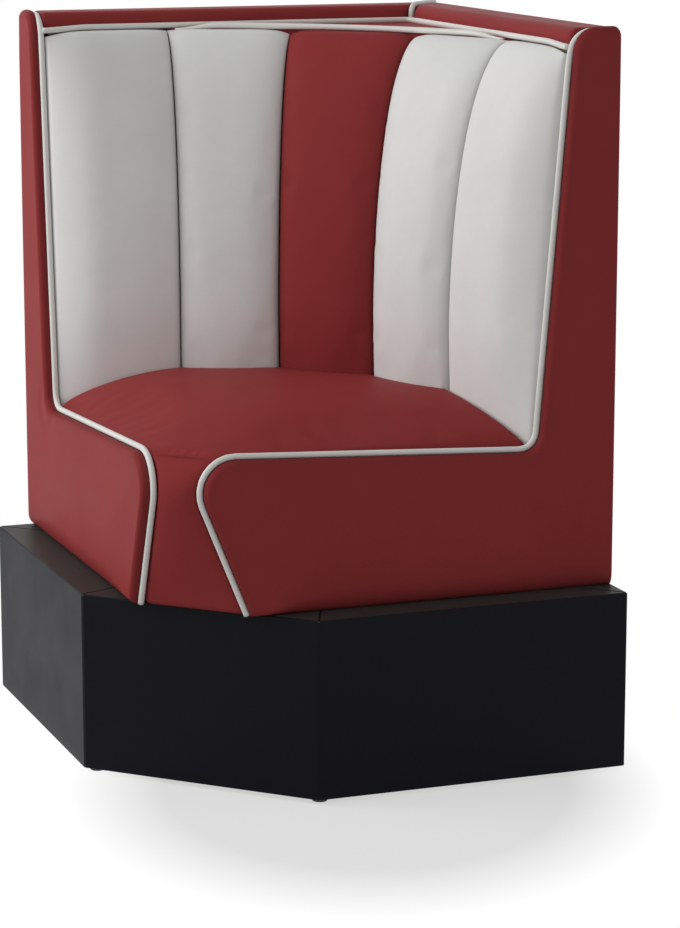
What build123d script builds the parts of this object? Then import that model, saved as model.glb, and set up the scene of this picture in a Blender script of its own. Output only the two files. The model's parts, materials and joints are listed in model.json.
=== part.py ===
from build123d import *
import os
from math import radians, sin, sqrt

# Corner booth seat: a pentagonal seat unit with two padded backs at a right angle, on a wrapped plinth.
# Lengths are in millimetres. While it is built, the corner of the two walls is at zero, the left back runs
# along -X, the right back along -Y, and "depth" is the distance out from a wall. Up is +Z, the floor is zero.
# write() moves each piece so that the origin is under the middle of the unit's box.

# Overall sizes
overall_height = 1030
body_length = 665
plinth_overhang = 45
plinth_front_setback = 14.67
plinth_height = 249
glide_height = 7
small_gap = 0.3
running_gap = 0.1
overrun = 20

# Plinth
panel_thickness = 12
plinth_deck_thickness = 15
wrap_thickness = 1.2
wrap_corner_radius = 3
block_size = 62
block_height = 45

# Levelling glides: a pad that swivels on a threaded stem, in an insert in each corner block
glide_pad_diameter = 22
glide_pad_edge_radius = 2
glide_inset_front = 22
glide_inset_back = 55
stem_diameter = 8
stem_length = 32
stem_socket_depth = 3
insert_diameter = 12
insert_length = 20
insert_flange_diameter = 16
insert_flange_thickness = 1.5

# Bolts that hold the body on the plinth, and their tee nuts
bolt_diameter = 8
bolt_head_diameter = 15
bolt_head_height = 5
bolt_inset = 150
tee_barrel_diameter = 10
tee_flange_diameter = 24
tee_flange_thickness = 1.6

# Body frame
end_pad_thickness = 12
end_board_thickness = 18
end_board_setback = 42
back_cover_thickness = 3
back_board_thickness = 12
floor_thickness = 15
seat_deck_top = 436
seat_deck_thickness = 15
post_clearance = 1.5
rail_setback = 10
former_thickness = 15
middle_former_height = 700
filler_thickness = 12
cleat_size = 25
cleat_length_share = 3 / 4
cleat_screw_inset = 50
front_board_thickness = 15
channel_board_thickness = 9

# Wood screws
screw_diameter = 4
screw_length = 40
screw_head_diameter = 8
screw_head_height = 2.5

# Covers and the end outline: depths from the wall, heights above the seat deck, setbacks from the body's end
piping_diameter = 8.5
piping_proud = 2.2
upright_top_depth = 72
upright_seat_depth = 119
seat_edge_rise = 21
nose_setback = 37
nose_rise = 45
front_bottom_setback = 128
end_back_radius = 11
end_front_radius = 34
end_seat_radius = 22
end_nose_radius = 50
end_edge_radius = 9
cap_depth = 70
cap_height = 24
cap_front_radius = 17
cap_back_radius = 11
mitre_radius = 14

# Back channels: shares of the cushions' length, along the wall and out from it, for the seams at the seat and
# at the top. The end seams keep near the cap
low_seam_1_shares = (0.735, 0.268)
low_seam_2_shares = (0.5335, 0.368)
top_seam_1_share = 0.715
top_seam_2_shares = (0.452, 0.231)
top_end_past_cap = 4
top_seam_1_past_end = 4
low_end_past_top = 46
channel_top_gap = 2.5
roll_start_rise = 148
channel_crown = 19
channel_top_crown = 3
channel_low_thickness = 42
channel_top_thickness = 8.5
roll_angles = (8, 16, 24, 33, 42, 52, 64, 90)

# Seat cushion and front pad: the pad's top thickness is measured to the outline before its nose is rounded
seat_crown_rise = 79
seat_crown_share = 0.572
seat_crown_radius_share = 2.95
seat_edge_rounding = 24
seat_front_rounding = 12
seat_rounding_limit_share = 0.85
seat_side_draw = 2
seat_front_setback = 90
front_pad_low_thickness = 22
front_pad_top_thickness = 38
front_pad_crown = 4
front_pad_section_share = 1 / 4

# Places that follow from the sizes above
to_diagonal = sqrt(2)
body_top = overall_height - piping_proud
piping_sink = piping_diameter / 2 - piping_proud
plinth_top = glide_height + plinth_height
deck_top = plinth_top - wrap_thickness
frame_end = body_length - end_pad_thickness
frame_inner = frame_end - end_board_thickness
cushion_end = frame_end - piping_diameter - small_gap
piping_plane = frame_end - piping_diameter / 2
wall_inner = back_cover_thickness + back_board_thickness
floor_top = plinth_top + floor_thickness
cap_bottom = body_top - cap_height
channel_top = cap_bottom - channel_top_gap
roll_start_height = seat_deck_top + roll_start_rise
filler_bottom = channel_top - filler_thickness
former_top_bottom = filler_bottom - former_thickness
rail_front = cap_depth - rail_setback
top_end_depth = cap_depth + top_end_past_cap
low_end_depth = top_end_depth + low_end_past_top
post_size = top_end_depth - channel_top_thickness - channel_board_thickness - wall_inner - post_clearance
seat_edge_height = seat_deck_top + seat_edge_rise
nose_corner_depth = body_length - nose_setback
nose_corner_height = seat_deck_top + nose_rise
front_bottom_depth = body_length - front_bottom_setback
seat_front_depth = body_length - seat_front_setback
plinth_length = body_length + plinth_overhang
plinth_end_depth = piping_plane + front_bottom_depth - plinth_front_setback * to_diagonal - plinth_length
half_length = plinth_length / 2

end_corners = [
    (0, body_top),
    (upright_top_depth, body_top),
    (upright_seat_depth, seat_edge_height),
    (nose_corner_depth, nose_corner_height),
    (front_bottom_depth, plinth_top),
]


# Frames of reference and small helpers


def end_plane(distance):
    """The upright plane across the left back at this distance from the corner: x is depth, y is height."""
    return Plane(origin=(-distance, 0, 0), x_dir=(0, -1, 0), z_dir=(-1, 0, 0))


def diagonal_plane(offset):
    """The upright plane along the unit's diagonal: x runs from the corner to the front, y is height."""
    side = offset / to_diagonal
    return Plane(origin=(-side, side, 0), x_dir=(-1, -1, 0), z_dir=(-1, 1, 0))


def to_right(shape):
    """The same piece on the right wing, mirrored in the diagonal."""
    return mirror(shape, about=Plane(origin=(0, 0, 0), z_dir=(1, -1, 0)))


def swapped(points):
    """Plan points of the left wing as the right wing's, in the other order."""
    return [(y, x) for x, y in reversed(points)]


def prism(points, bottom, top):
    """An upright piece with this plan outline between two heights."""
    face = make_face(Polyline(*points, close=True))
    return extrude(face.moved(Location((0, 0, bottom))), amount=top - bottom, dir=(0, 0, 1))


def block(x_low, x_high, y_low, y_high, bottom, top):
    """A rectangular piece between these limits."""
    corners = [(x_low, y_low), (x_high, y_low), (x_high, y_high), (x_low, y_high)]
    return prism(corners, bottom, top)


def rod(centre, diameter, bottom, top):
    """An upright round bar at a plan point."""
    x, y = centre
    disc = Location((x, y, bottom)) * Circle(diameter / 2)
    return extrude(disc, amount=top - bottom, dir=(0, 0, 1))


def piping_along(path):
    """Piping along a path of straight runs and tangent arcs."""
    start = Plane(origin=path @ 0, z_dir=path % 0)
    return sweep(start * Circle(piping_diameter / 2), path=path)


def inset(points, distance):
    """An open line of points moved to its right by this distance, its corners kept sharp."""
    moved = []
    for first, second in zip(points, points[1:]):
        along = (Vector(*second) - Vector(*first)).normalized()
        right = Vector(along.Y, -along.X) * distance
        moved.append((Vector(*first) + right, along))
    line = [moved[0][0]]
    for (start, along), (other, direction) in zip(moved, moved[1:]):
        across = along.X * direction.Y - along.Y * direction.X
        gap = other - start
        reach = (gap.X * direction.Y - gap.Y * direction.X) / across
        line.append(start + along * reach)
    last = Vector(*points[-1]) - Vector(*points[-2])
    line.append(moved[-1][0] + last)
    return [(point.X, point.Y) for point in line]


def mix(first, second, amount):
    """The plan point this share of the way from the first to the second."""
    return tuple(a + (b - a) * amount for a, b in zip(first, second))


def write(name, *solids):
    """Save one node, moved so that the origin is under the middle of the unit."""
    place = Location((half_length, half_length, 0))
    pieces = [solid.moved(place) for shape in solids for solid in shape.solids()]
    node = pieces[0] if len(pieces) == 1 else Compound(children=pieces)
    export_step(node, f"parts/{name}.step")


# Plinth


def plinth_corners(margin):
    """Plan corners of the plinth, moved in by this margin, from the left back corner round the front."""
    reach = plinth_length - margin
    cut = margin * (to_diagonal - 1)
    end = plinth_end_depth - cut
    return [(-reach, -margin), (-reach, -end), (-end, -reach), (-margin, -reach), (-margin, -margin)]


def glide_places():
    """Plan places of the five glides: near the edge at the two front corners, well in at the others."""
    front = plinth_corners(glide_inset_front)
    back = plinth_corners(glide_inset_back)
    return [back[0], front[1], front[2], back[3], back[4]]


def plinth_panels():
    outer = plinth_corners(wrap_thickness)
    inner = plinth_corners(wrap_thickness + panel_thickness)
    names = ["left_end", "front", "right_end", "back_right", "back_left"]
    top = deck_top - plinth_deck_thickness
    panels = {}
    for i, name in enumerate(names):
        following = (i + 1) % len(names)
        outline = [outer[i], outer[following], inner[following], inner[i]]
        panels[name] = prism(outline, glide_height, top)
    return panels


def plinth_deck():
    return prism(plinth_corners(wrap_thickness), deck_top - plinth_deck_thickness, deck_top)


def rounded_pentagon(margin, bottom, top):
    solid = prism(plinth_corners(margin), bottom, top)
    return fillet(solid.edges().filter_by(Axis.Z), wrap_corner_radius - margin)


def side_wrap():
    outer = rounded_pentagon(0, glide_height, deck_top)
    return outer - prism(plinth_corners(wrap_thickness), glide_height - overrun, plinth_top + overrun)


def top_wrap():
    return rounded_pentagon(0, deck_top, plinth_top)


def corner_blocks():
    inner = plinth_corners(wrap_thickness + panel_thickness)
    room = prism(inner, glide_height, glide_height + block_height)
    blocks = []
    for corner, centre in zip(inner, glide_places()):
        x, y = corner
        half = block_size
        cube = block(x - half, x + half, y - half, y + half, glide_height, glide_height + block_height)
        blocks.append((cube & room) - insert_hole(centre))
    return blocks


def insert_hole(centre):
    flange_top = glide_height + insert_flange_thickness
    barrel = rod(centre, insert_diameter, glide_height, glide_height + insert_length)
    bore = rod(centre, stem_diameter + 2 * running_gap, glide_height, glide_height + block_height)
    return barrel + bore + rod(centre, insert_flange_diameter, glide_height, flange_top)


def glide_insert(centre):
    flange_top = glide_height + insert_flange_thickness
    barrel = rod(centre, insert_diameter, glide_height, glide_height + insert_length)
    flange = rod(centre, insert_flange_diameter, glide_height, flange_top)
    bore = rod(centre, stem_diameter + 2 * running_gap, 0, glide_height + insert_length + overrun)
    return (barrel + flange) - bore


def glide_pad(centre):
    pad = rod(centre, glide_pad_diameter, 0, glide_height - small_gap)
    pad = fillet(pad.edges().filter_by(GeomType.CIRCLE), glide_pad_edge_radius)
    socket_bottom = glide_height - small_gap - stem_socket_depth
    return pad - rod(centre, stem_diameter + 2 * running_gap, socket_bottom, glide_height)


def glide_stem(centre):
    bottom = glide_height - stem_socket_depth
    return rod(centre, stem_diameter, bottom, bottom + stem_length)


def plinth_screws(allowance=0):
    """Two screws through each panel into the block at its first corner."""
    screws = []
    outer = plinth_corners(wrap_thickness)
    for corner, following in zip(outer, outer[1:] + outer[:1]):
        along = (Vector(*following) - Vector(*corner)).normalized()
        inwards = Vector(-along.Y, along.X)
        place = Vector(*corner) + along * block_size / 2
        for share in (1 / 3, 2 / 3):
            head = Vector(place.X, place.Y, glide_height + block_height * share)
            screws.append(screw(head, inwards, allowance))
    return screws


def screw(head, direction, allowance=0):
    """A countersunk wood screw: its head's flat face is at head, and it points along direction."""
    plane = Plane(origin=head, z_dir=direction)
    cone = loft([
        plane * Circle(screw_head_diameter / 2 + allowance),
        plane.offset(screw_head_height) * Circle(screw_diameter / 2 + allowance),
    ])
    shank = extrude(plane * Circle(screw_diameter / 2 + allowance), amount=screw_length + allowance)
    return cone + shank


# Bolts from the plinth into the body


def bolt_places():
    left = -body_length + bolt_inset
    front = -front_bottom_depth + bolt_inset
    near = -bolt_inset
    return [(left, near), (left, front), (front, left), (near, left), (near, near)]


def body_bolt(centre):
    seat = deck_top - plinth_deck_thickness
    head = rod(centre, bolt_head_diameter, seat - bolt_head_height, seat)
    return head + rod(centre, bolt_diameter, seat, floor_top + tee_flange_thickness)


def tee_nut(centre):
    flange = rod(centre, tee_flange_diameter, floor_top, floor_top + tee_flange_thickness)
    barrel = rod(centre, tee_barrel_diameter, plinth_top, floor_top)
    return flange + barrel - rod(centre, bolt_diameter + small_gap, 0, overall_height)


def with_bolt_holes(shape, diameter):
    for centre in bolt_places():
        shape = shape - rod(centre, diameter, 0, seat_deck_top - seat_deck_thickness)
    return shape


# Back channels


top_seam_1_depth = top_end_depth + top_seam_1_past_end
top_seam_2_depth = cushion_end * top_seam_2_shares[1]
low_seams_left = [
    (-cushion_end, -low_end_depth),
    tuple(-cushion_end * share for share in low_seam_1_shares),
    tuple(-cushion_end * share for share in low_seam_2_shares),
]
top_seams_left = [
    (-cushion_end, -top_end_depth),
    (-cushion_end * top_seam_1_share, -top_seam_1_depth),
    (-cushion_end * top_seam_2_shares[0], -top_seam_2_depth),
]
low_seams = low_seams_left + swapped(low_seams_left)
top_seams = top_seams_left + swapped(top_seams_left)


def outward(points, i):
    """The plan direction that a seam faces, square to its neighbours' line; the end seams face square out."""
    if i == 0:
        return Vector(0, -1)
    if i == len(points) - 1:
        return Vector(-1, 0)
    along = Vector(*points[i + 1]) - Vector(*points[i - 1])
    return Vector(along.Y, -along.X).normalized()


def behind(points, distance):
    """Each seam point moved towards the wall by this distance; the end ones also clear the end boards."""
    moved = []
    for i, point in enumerate(points):
        x, y = point
        facing = outward(points, i)
        moved.append((x - facing.X * distance, y - facing.Y * distance))
    limit = small_gap - frame_inner
    moved[0] = (limit, moved[0][1])
    moved[-1] = (moved[-1][0], limit)
    return moved


def back_line(height, distance):
    """Plan points behind the channels at a height, this far behind the channels' own back faces."""
    low = behind(low_seams, channel_low_thickness + distance)
    top = behind(top_seams, channel_top_thickness + distance)
    share = (height - seat_deck_top) / (channel_top - seat_deck_top)
    return [mix(a, b, share) for a, b in zip(low, top)]


def roll(height):
    """How far the back has rolled towards its top line: 0 low down, then a quarter ellipse to 1."""
    rise = max(0, height - roll_start_height) / (channel_top - roll_start_height)
    return 1 - sqrt(max(0, 1 - rise * rise))


def front_line(height):
    """Plan points of the seams at a height."""
    return [mix(a, b, roll(height)) for a, b in zip(low_seams, top_seams)]


def crown_at(height):
    return channel_crown + (channel_top_crown - channel_crown) * roll(height)


def bulged(first, second, crown):
    """The middle of two plan points, moved out of the back by the crown."""
    along = Vector(*second) - Vector(*first)
    out = Vector(along.Y, -along.X).normalized() * crown
    middle = (Vector(*first) + Vector(*second)) / 2 + out
    return (middle.X, middle.Y)


def channel_section(i, height):
    """One channel's section at a height: an arc in front, straight sides and a straight back."""
    front = front_line(height)
    back = back_line(height, 0)
    width = (Vector(*front[i + 1]) - Vector(*front[i])).length
    trim = small_gap / 2 / width
    a = mix(front[i], front[i + 1], trim)
    b = mix(front[i + 1], front[i], trim)
    c = mix(back[i + 1], back[i], trim)
    d = mix(back[i], back[i + 1], trim)
    outline = ThreePointArc(a, bulged(a, b, crown_at(height)), b) + Polyline(b, c, d, a)
    return make_face(outline).moved(Location((0, 0, height)))


def channel_heights():
    """Section heights, about evenly spaced along the front: three up the plain part, the rest round it."""
    bottom = seat_deck_top + small_gap
    rise = channel_top - roll_start_height
    curved = [roll_start_height + rise * sin(radians(angle)) for angle in roll_angles]
    return [bottom, (bottom + roll_start_height) / 2, roll_start_height] + curved


def back_channel(i):
    return loft([channel_section(i, height) for height in channel_heights()])


def channel_board(i):
    """The flat board that one channel is upholstered on."""
    sections = []
    for height in (seat_deck_top, filler_bottom):
        front = back_line(height, small_gap)
        back = back_line(height, small_gap + channel_board_thickness)
        width = (Vector(*front[i + 1]) - Vector(*front[i])).length
        trim = small_gap / width
        corners = [
            mix(front[i], front[i + 1], trim),
            mix(front[i + 1], front[i], trim),
            mix(back[i + 1], back[i], trim),
            mix(back[i], back[i + 1], trim),
        ]
        face = make_face(Polyline(*corners, close=True))
        sections.append(face.moved(Location((0, 0, height))))
    return loft(sections, ruled=True)


# Body frame


def posts():
    """The corner post, then the end and middle posts of the left wing."""
    near = -wall_inner
    far = -wall_inner - post_size
    end = -frame_inner
    middle = (near - frame_inner) / 2
    half = post_size / 2
    corner = block(far, near, far, near, floor_top, former_top_bottom)
    left_end = block(end, end + post_size, far, near, floor_top, former_top_bottom)
    left_middle = block(middle - half, middle + half, far, near, floor_top, former_top_bottom)
    return corner, [left_end, left_middle]


def all_posts():
    corner, left = posts()
    return [corner] + left + [to_right(post) for post in left]


def former(bottom, top):
    """A horizontal board that holds the channel boards at their curve, notched round the posts."""
    front = back_line(top, 2 * small_gap + channel_board_thickness)
    corner = [(-wall_inner, -frame_inner), (-wall_inner, -wall_inner), (-frame_inner, -wall_inner)]
    plate = prism(front + corner, bottom, top)
    for post in all_posts():
        plate = plate - post
    return plate


def frame_pentagon(front, bottom, top):
    """A level board inside the frame, cut off at this distance along the diagonal."""
    cut = front * to_diagonal - frame_inner
    outline = [
        (-frame_inner, -wall_inner),
        (-frame_inner, -cut),
        (-cut, -frame_inner),
        (-wall_inner, -frame_inner),
        (-wall_inner, -wall_inner),
    ]
    return prism(outline, bottom, top)


def along_diagonal(depth):
    """Distance from the corner, along the diagonal, of the end outline's point at this depth."""
    return (piping_plane + depth) / to_diagonal


def pad_back_low():
    return along_diagonal(front_bottom_depth) - front_pad_low_thickness


def pad_back_top():
    """The pad's back at the seat deck, behind the end outline's front line."""
    rise = (seat_deck_top - plinth_top) / (nose_corner_height - plinth_top)
    front = front_bottom_depth + (nose_corner_depth - front_bottom_depth) * rise
    return along_diagonal(front) - front_pad_top_thickness


def pad_back(height):
    """Distance from the corner, along the diagonal, of the front pad's back face."""
    share = (height - plinth_top) / (seat_deck_top - plinth_top)
    return pad_back_low() + (pad_back_top() - pad_back_low()) * share


def front_board():
    deck_bottom = seat_deck_top - seat_deck_thickness
    outline = [
        (pad_back(floor_top) - small_gap, floor_top),
        (pad_back(deck_bottom) - small_gap, deck_bottom),
        (pad_back(deck_bottom) - small_gap - front_board_thickness, deck_bottom),
        (pad_back(floor_top) - small_gap - front_board_thickness, floor_top),
    ]
    return across_front(outline, frame_inner)


def across_front(outline, reach):
    """A section on the diagonal plane carried across the front, and cut off at both ends."""
    face = diagonal_plane(-body_length) * make_face(Polyline(*outline, close=True))
    bar = extrude(face, amount=2 * body_length)
    return bar & block(-reach, overrun, -reach, overrun, 0, overall_height)


def body_floor():
    plate = frame_pentagon(pad_back(plinth_top) - small_gap, plinth_top, floor_top)
    return with_bolt_holes(plate, tee_barrel_diameter)


def seat_deck():
    deck_bottom = seat_deck_top - seat_deck_thickness
    plate = frame_pentagon(pad_back(deck_bottom) - small_gap, deck_bottom, seat_deck_top)
    for post in all_posts():
        plate = plate - post
    return plate


def end_board():
    """The L-shaped end board of the left wing, inside the padded end."""
    upright = upright_seat_depth - end_board_setback
    upright_top = upright_top_depth - end_board_setback
    front = (pad_back_top() - small_gap) * to_diagonal - frame_end
    foot = (pad_back_low() - small_gap) * to_diagonal - frame_end
    outline = [
        (back_cover_thickness, plinth_top),
        (back_cover_thickness, cap_bottom),
        (upright_top, cap_bottom),
        (upright, seat_deck_top),
        (front, seat_deck_top),
        (foot, plinth_top),
    ]
    face = end_plane(frame_inner) * make_face(Polyline(*outline, close=True))
    return extrude(face, amount=end_board_thickness)


def back_boards():
    outer = -back_cover_thickness
    left = block(-frame_inner, outer, -wall_inner, outer, plinth_top, cap_bottom)
    right = block(-wall_inner, outer, -frame_inner, -wall_inner, plinth_top, cap_bottom)
    return left, right


def top_rails():
    left = block(-frame_inner, -wall_inner, -rail_front, -wall_inner, filler_bottom, cap_bottom)
    right = block(-rail_front, -wall_inner, -frame_inner, -rail_front, filler_bottom, cap_bottom)
    return left, right


def end_cleat_length():
    return (front_bottom_depth - front_board_thickness) * cleat_length_share


def end_cleat():
    top = seat_deck_top - seat_deck_thickness
    start = -wall_inner - post_size
    end = start - end_cleat_length()
    return block(-frame_inner, cleat_size - frame_inner, end, start, top - cleat_size, top)


def back_cleat():
    top = seat_deck_top - seat_deck_thickness
    middle = (-wall_inner - frame_inner) / 2
    start = post_size - frame_inner
    return block(start, middle - post_size / 2, -wall_inner - cleat_size, -wall_inner, top - cleat_size, top)


def cleat_screw_places():
    height = seat_deck_top - seat_deck_thickness - cleat_size / 2
    first = -wall_inner - post_size - cleat_screw_inset
    run = end_cleat_length() - 2 * cleat_screw_inset
    return [Vector(-frame_end, first - run * share, height) for share in (0, 1 / 2, 1)]


def cleat_screws(allowance=0):
    """Screws of the left wing, through the end board into its cleat."""
    return [screw(place, Vector(1, 0), allowance) for place in cleat_screw_places()]


def less(shape, tools):
    for tool in tools:
        shape = shape - tool
    return shape


# Covers


def rounded_line(corners, radii):
    return FilletPolyline(*corners, radius=radii)


def end_pad():
    """The padded end of the left wing: the end outline with a soft outer edge."""
    corners = [(0, plinth_top)] + end_corners
    radii = [end_back_radius, end_front_radius, end_seat_radius, end_nose_radius]
    outline = rounded_line(corners, radii) + Line(corners[-1], corners[0])
    face = end_plane(frame_end) * make_face(outline)
    pad = extrude(face, amount=end_pad_thickness)
    outer = pad.faces().sort_by(Axis.X)[0]
    return fillet(outer.edges(), end_edge_radius)


def end_piping():
    line = inset(end_corners, piping_sink)
    line[0] = (end_back_radius, line[0][1])
    radii = [
        end_front_radius - piping_sink,
        end_seat_radius + piping_sink,
        end_nose_radius - piping_sink,
    ]
    return piping_along(end_plane(piping_plane) * rounded_line(line, radii))


def cap_outline():
    corners = [(0, cap_bottom), (0, body_top), (cap_depth, body_top), (cap_depth, cap_bottom)]
    return rounded_line(corners, [cap_back_radius, cap_front_radius]) + Line(corners[-1], corners[0])


def wall_cap():
    """The rolled cap on the left back, with room for the piping at its mitre."""
    face = end_plane(0) * make_face(cap_outline())
    bar = extrude(face, amount=cushion_end)
    room = piping_diameter / 2 + small_gap / 2
    side = room / to_diagonal
    return split(bar, bisect_by=Plane(origin=(-side, side, 0), z_dir=(-1, 1, 0)), keep=Keep.TOP)


def wall_piping_level():
    return channel_top + piping_diameter / 2 + small_gap


def wall_piping():
    depth = -(cap_depth + piping_diameter / 2 + small_gap)
    height = wall_piping_level()
    corners = [(-cushion_end, depth, height), (depth, depth, height), (depth, -cushion_end, height)]
    return piping_along(FilletPolyline(*corners, radius=piping_diameter))


def mitre_piping():
    front = cap_depth * to_diagonal - piping_sink
    top = body_top - piping_sink
    bottom = wall_piping_level() + piping_diameter / 2 + small_gap
    line = [(front, bottom), (front, top), (cap_back_radius, top)]
    return piping_along(diagonal_plane(0) * rounded_line(line, [mitre_radius]))


def back_piping():
    """Piping along the top of the curved back, between the wall piping's two straight runs."""
    height = wall_piping_level()
    clear = piping_diameter + small_gap - (top_seam_1_depth - cap_depth - piping_diameter / 2 - small_gap)
    start = mix(top_seams[1], top_seams[2], clear / (top_seam_2_depth - top_seam_1_depth))
    x, y = start
    middle = bulged(top_seams[2], top_seams[3], -channel_top_crown)
    arc = ThreePointArc((x, y, height), (*middle, height), (y, x, height))
    return piping_along(arc)


def corner_filler():
    """The flat covered panel between the caps and the top of the curved back."""
    front = back_line(channel_top, small_gap)[1:-1]
    edge = -rail_front
    start = (front[0][0], edge)
    outline = [start] + front + [(edge, front[-1][1]), (edge, edge)]
    return prism(outline, filler_bottom, channel_top)


def back_covers():
    depth = back_cover_thickness
    left = block(-frame_end, 0, -depth, 0, plinth_top, cap_bottom)
    right = block(-depth, 0, -frame_end, -depth, plinth_top, cap_bottom)
    return left, right


def nose_centre():
    """Centre of the end outline's nose arc, as depth and height."""
    return inset(end_corners[2:], end_nose_radius)[1]


def nose_points():
    """Three points on the end outline's nose: at the crease, foremost, and where the front slope begins."""
    depth, height = nose_centre()
    back = seat_front_depth - depth
    slope = (Vector(*end_corners[4]) - Vector(*end_corners[3])).normalized()
    return [
        (seat_front_depth, height + sqrt(end_nose_radius**2 - back**2)),
        (depth + end_nose_radius, height),
        (depth - slope.Y * end_nose_radius, height + slope.X * end_nose_radius),
    ]


def front_pad():
    """The narrow pad under the nose of the seat: the end outline in front, a crease at the top."""
    crease, nose, slope = [(along_diagonal(depth), height) for depth, height in nose_points()]
    foot = (along_diagonal(front_bottom_depth), plinth_top)
    sections = []
    side = body_length * front_pad_section_share
    back = [(pad_back_low(), plinth_top), (pad_back_top(), seat_deck_top), (crease[0], seat_deck_top), crease]
    for offset, crown in ((-side, 0), (0, front_pad_crown), (side, 0)):
        middle, low, end = [(x + crown, y) for x, y in (nose, slope, foot)]
        outline = ThreePointArc(crease, middle, low) + Line(low, end) + Polyline(end, *back)
        sections.append(diagonal_plane(offset) * make_face(outline))
    bar = loft(sections)
    reach = cushion_end
    return bar & block(-reach, overrun, -reach, overrun, 0, overall_height)


def seat_outline():
    """Plan of the seat: the crease in front, drawn-in sides, and arcs that follow the channels."""
    crease = along_diagonal(seat_front_depth) - small_gap
    front_y = crease * to_diagonal - cushion_end
    clear = 2 * small_gap
    seams = low_seams
    points = []
    for i, (x, y) in enumerate(seams):
        facing = outward(seams, i)
        points.append((x + facing.X * clear, y + facing.Y * clear))
    left = (-cushion_end, -front_y)
    right = (-front_y, -cushion_end)
    left_middle = (seat_side_draw - cushion_end, (points[0][1] - front_y) / 2)
    right_middle = (left_middle[1], left_middle[0])
    edges = [ThreePointArc(left, left_middle, points[0])]
    for a, b in zip(points, points[1:]):
        edges.append(ThreePointArc(a, bulged(a, b, channel_crown), b))
    edges.append(ThreePointArc(points[-1], right_middle, right))
    edges.append(Line(right, left))
    return make_face(Curve() + edges)


def seat_cushion():
    """The seat: an upright block with a domed top, softer along its sides than along its crease."""
    base = seat_outline().moved(Location((0, 0, seat_deck_top)))
    body = extrude(base, amount=seat_crown_rise + overrun, dir=(0, 0, 1))
    away = along_diagonal(seat_front_depth) * seat_crown_share / to_diagonal
    radius = cushion_end * seat_crown_radius_share
    dome = Location((-away, -away, seat_deck_top + seat_crown_rise - radius)) * Sphere(radius)
    cushion = body & dome
    to_corner = Vector(cushion_end - away, away - low_end_depth).length
    thinnest = seat_crown_rise - radius + sqrt(radius**2 - to_corner**2)
    limit = thinnest * seat_rounding_limit_share
    cushion = fillet([edge for edge in top_edges(cushion) if is_side(edge)], min(seat_edge_rounding, limit))
    front_rounding = min(seat_front_rounding, limit / 2)
    return fillet([edge for edge in top_edges(cushion) if is_crease(edge)], front_rounding)


def top_edges(solid):
    return solid.faces().sort_by(Axis.Z)[-1].edges()


def is_side(edge):
    """Whether a top edge lies along one of the end pads."""
    middle = edge @ 0.5
    near = cushion_end - 2 * seat_side_draw
    return middle.X < -near or middle.Y < -near


def is_crease(edge):
    """Whether a top edge lies along the crease in front."""
    middle = edge @ 0.5
    reach = -(middle.X + middle.Y) / to_diagonal
    return reach > along_diagonal(seat_front_depth) - seat_edge_rounding


# Build every node


def build_plinth():
    screw_holes = plinth_screws(small_gap / 2)
    for name, panel in plinth_panels().items():
        write(f"plinth_panel_{name}", less(panel, screw_holes))
    write("plinth_deck", with_bolt_holes(plinth_deck(), bolt_diameter + 2 * small_gap))
    write("plinth_side_wrap", side_wrap())
    write("plinth_top_wrap", with_bolt_holes(top_wrap(), bolt_diameter + 2 * small_gap))
    write("corner_blocks", *[less(piece, screw_holes) for piece in corner_blocks()])
    write("plinth_screws", *plinth_screws())
    write("glide_inserts", *[glide_insert(centre) for centre in glide_places()])
    for i, centre in enumerate(glide_places(), start=1):
        write(f"glide_pad_{i}", glide_pad(centre))
        write(f"glide_stem_{i}", glide_stem(centre))


def build_frame():
    write("body_bolts", *[body_bolt(centre) for centre in bolt_places()])
    write("tee_nuts", *[tee_nut(centre) for centre in bolt_places()])
    write("body_floor", body_floor())
    holes = cleat_screws(small_gap / 2)
    board = less(end_board(), holes)
    write("end_board_left", board)
    write("end_board_right", to_right(board))
    for name, board in zip(("left", "right"), back_boards()):
        write(f"back_board_{name}", board)
    corner, left_posts = posts()
    write("corner_post", corner)
    write("back_posts", *left_posts, *[to_right(post) for post in left_posts])
    write("seat_deck", seat_deck())
    cleats = [less(end_cleat(), holes), back_cleat()]
    write("seat_cleats", *cleats, *[to_right(cleat) for cleat in cleats])
    write("front_board", front_board())
    write("channel_boards", *[channel_board(i) for i in range(len(low_seams) - 1)])
    write("former_middle", former(middle_former_height, middle_former_height + former_thickness))
    write("former_top", former(former_top_bottom, filler_bottom))
    for name, rail in zip(("left", "right"), top_rails()):
        write(f"top_rail_{name}", rail)
    screws = cleat_screws()
    write("cleat_screws", *screws, *[to_right(piece) for piece in screws])


def build_covers():
    write("seat_cushion", seat_cushion())
    write("front_pad", front_pad())
    for i in range(len(low_seams) - 1):
        write(f"back_channel_{i + 1}", back_channel(i))
    pad = end_pad()
    write("end_pad_left", pad)
    write("end_pad_right", to_right(pad))
    cap = wall_cap()
    write("wall_cap_left", cap)
    write("wall_cap_right", to_right(cap))
    write("corner_filler", corner_filler())
    for name, cover in zip(("left", "right"), back_covers()):
        write(f"back_cover_{name}", cover)
    piping = end_piping()
    write("end_piping_left", piping)
    write("end_piping_right", to_right(piping))
    write("wall_piping", wall_piping())
    write("mitre_piping", mitre_piping())
    write("back_piping", back_piping())


os.makedirs("parts", exist_ok=True)
build_plinth()
build_frame()
build_covers()
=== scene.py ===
"""Looks of a corner booth seat: padded vinyl over a wooden frame, white piping and a wrapped plinth.

Plans are worked out from the corner of the two walls, where "depth" is the distance out from a wall and
"along" the distance from the corner. The left back runs along -X. A right-hand piece is the left one with X
and Y exchanged.
"""

import json
from math import cos, pi, radians, sin, sqrt

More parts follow.
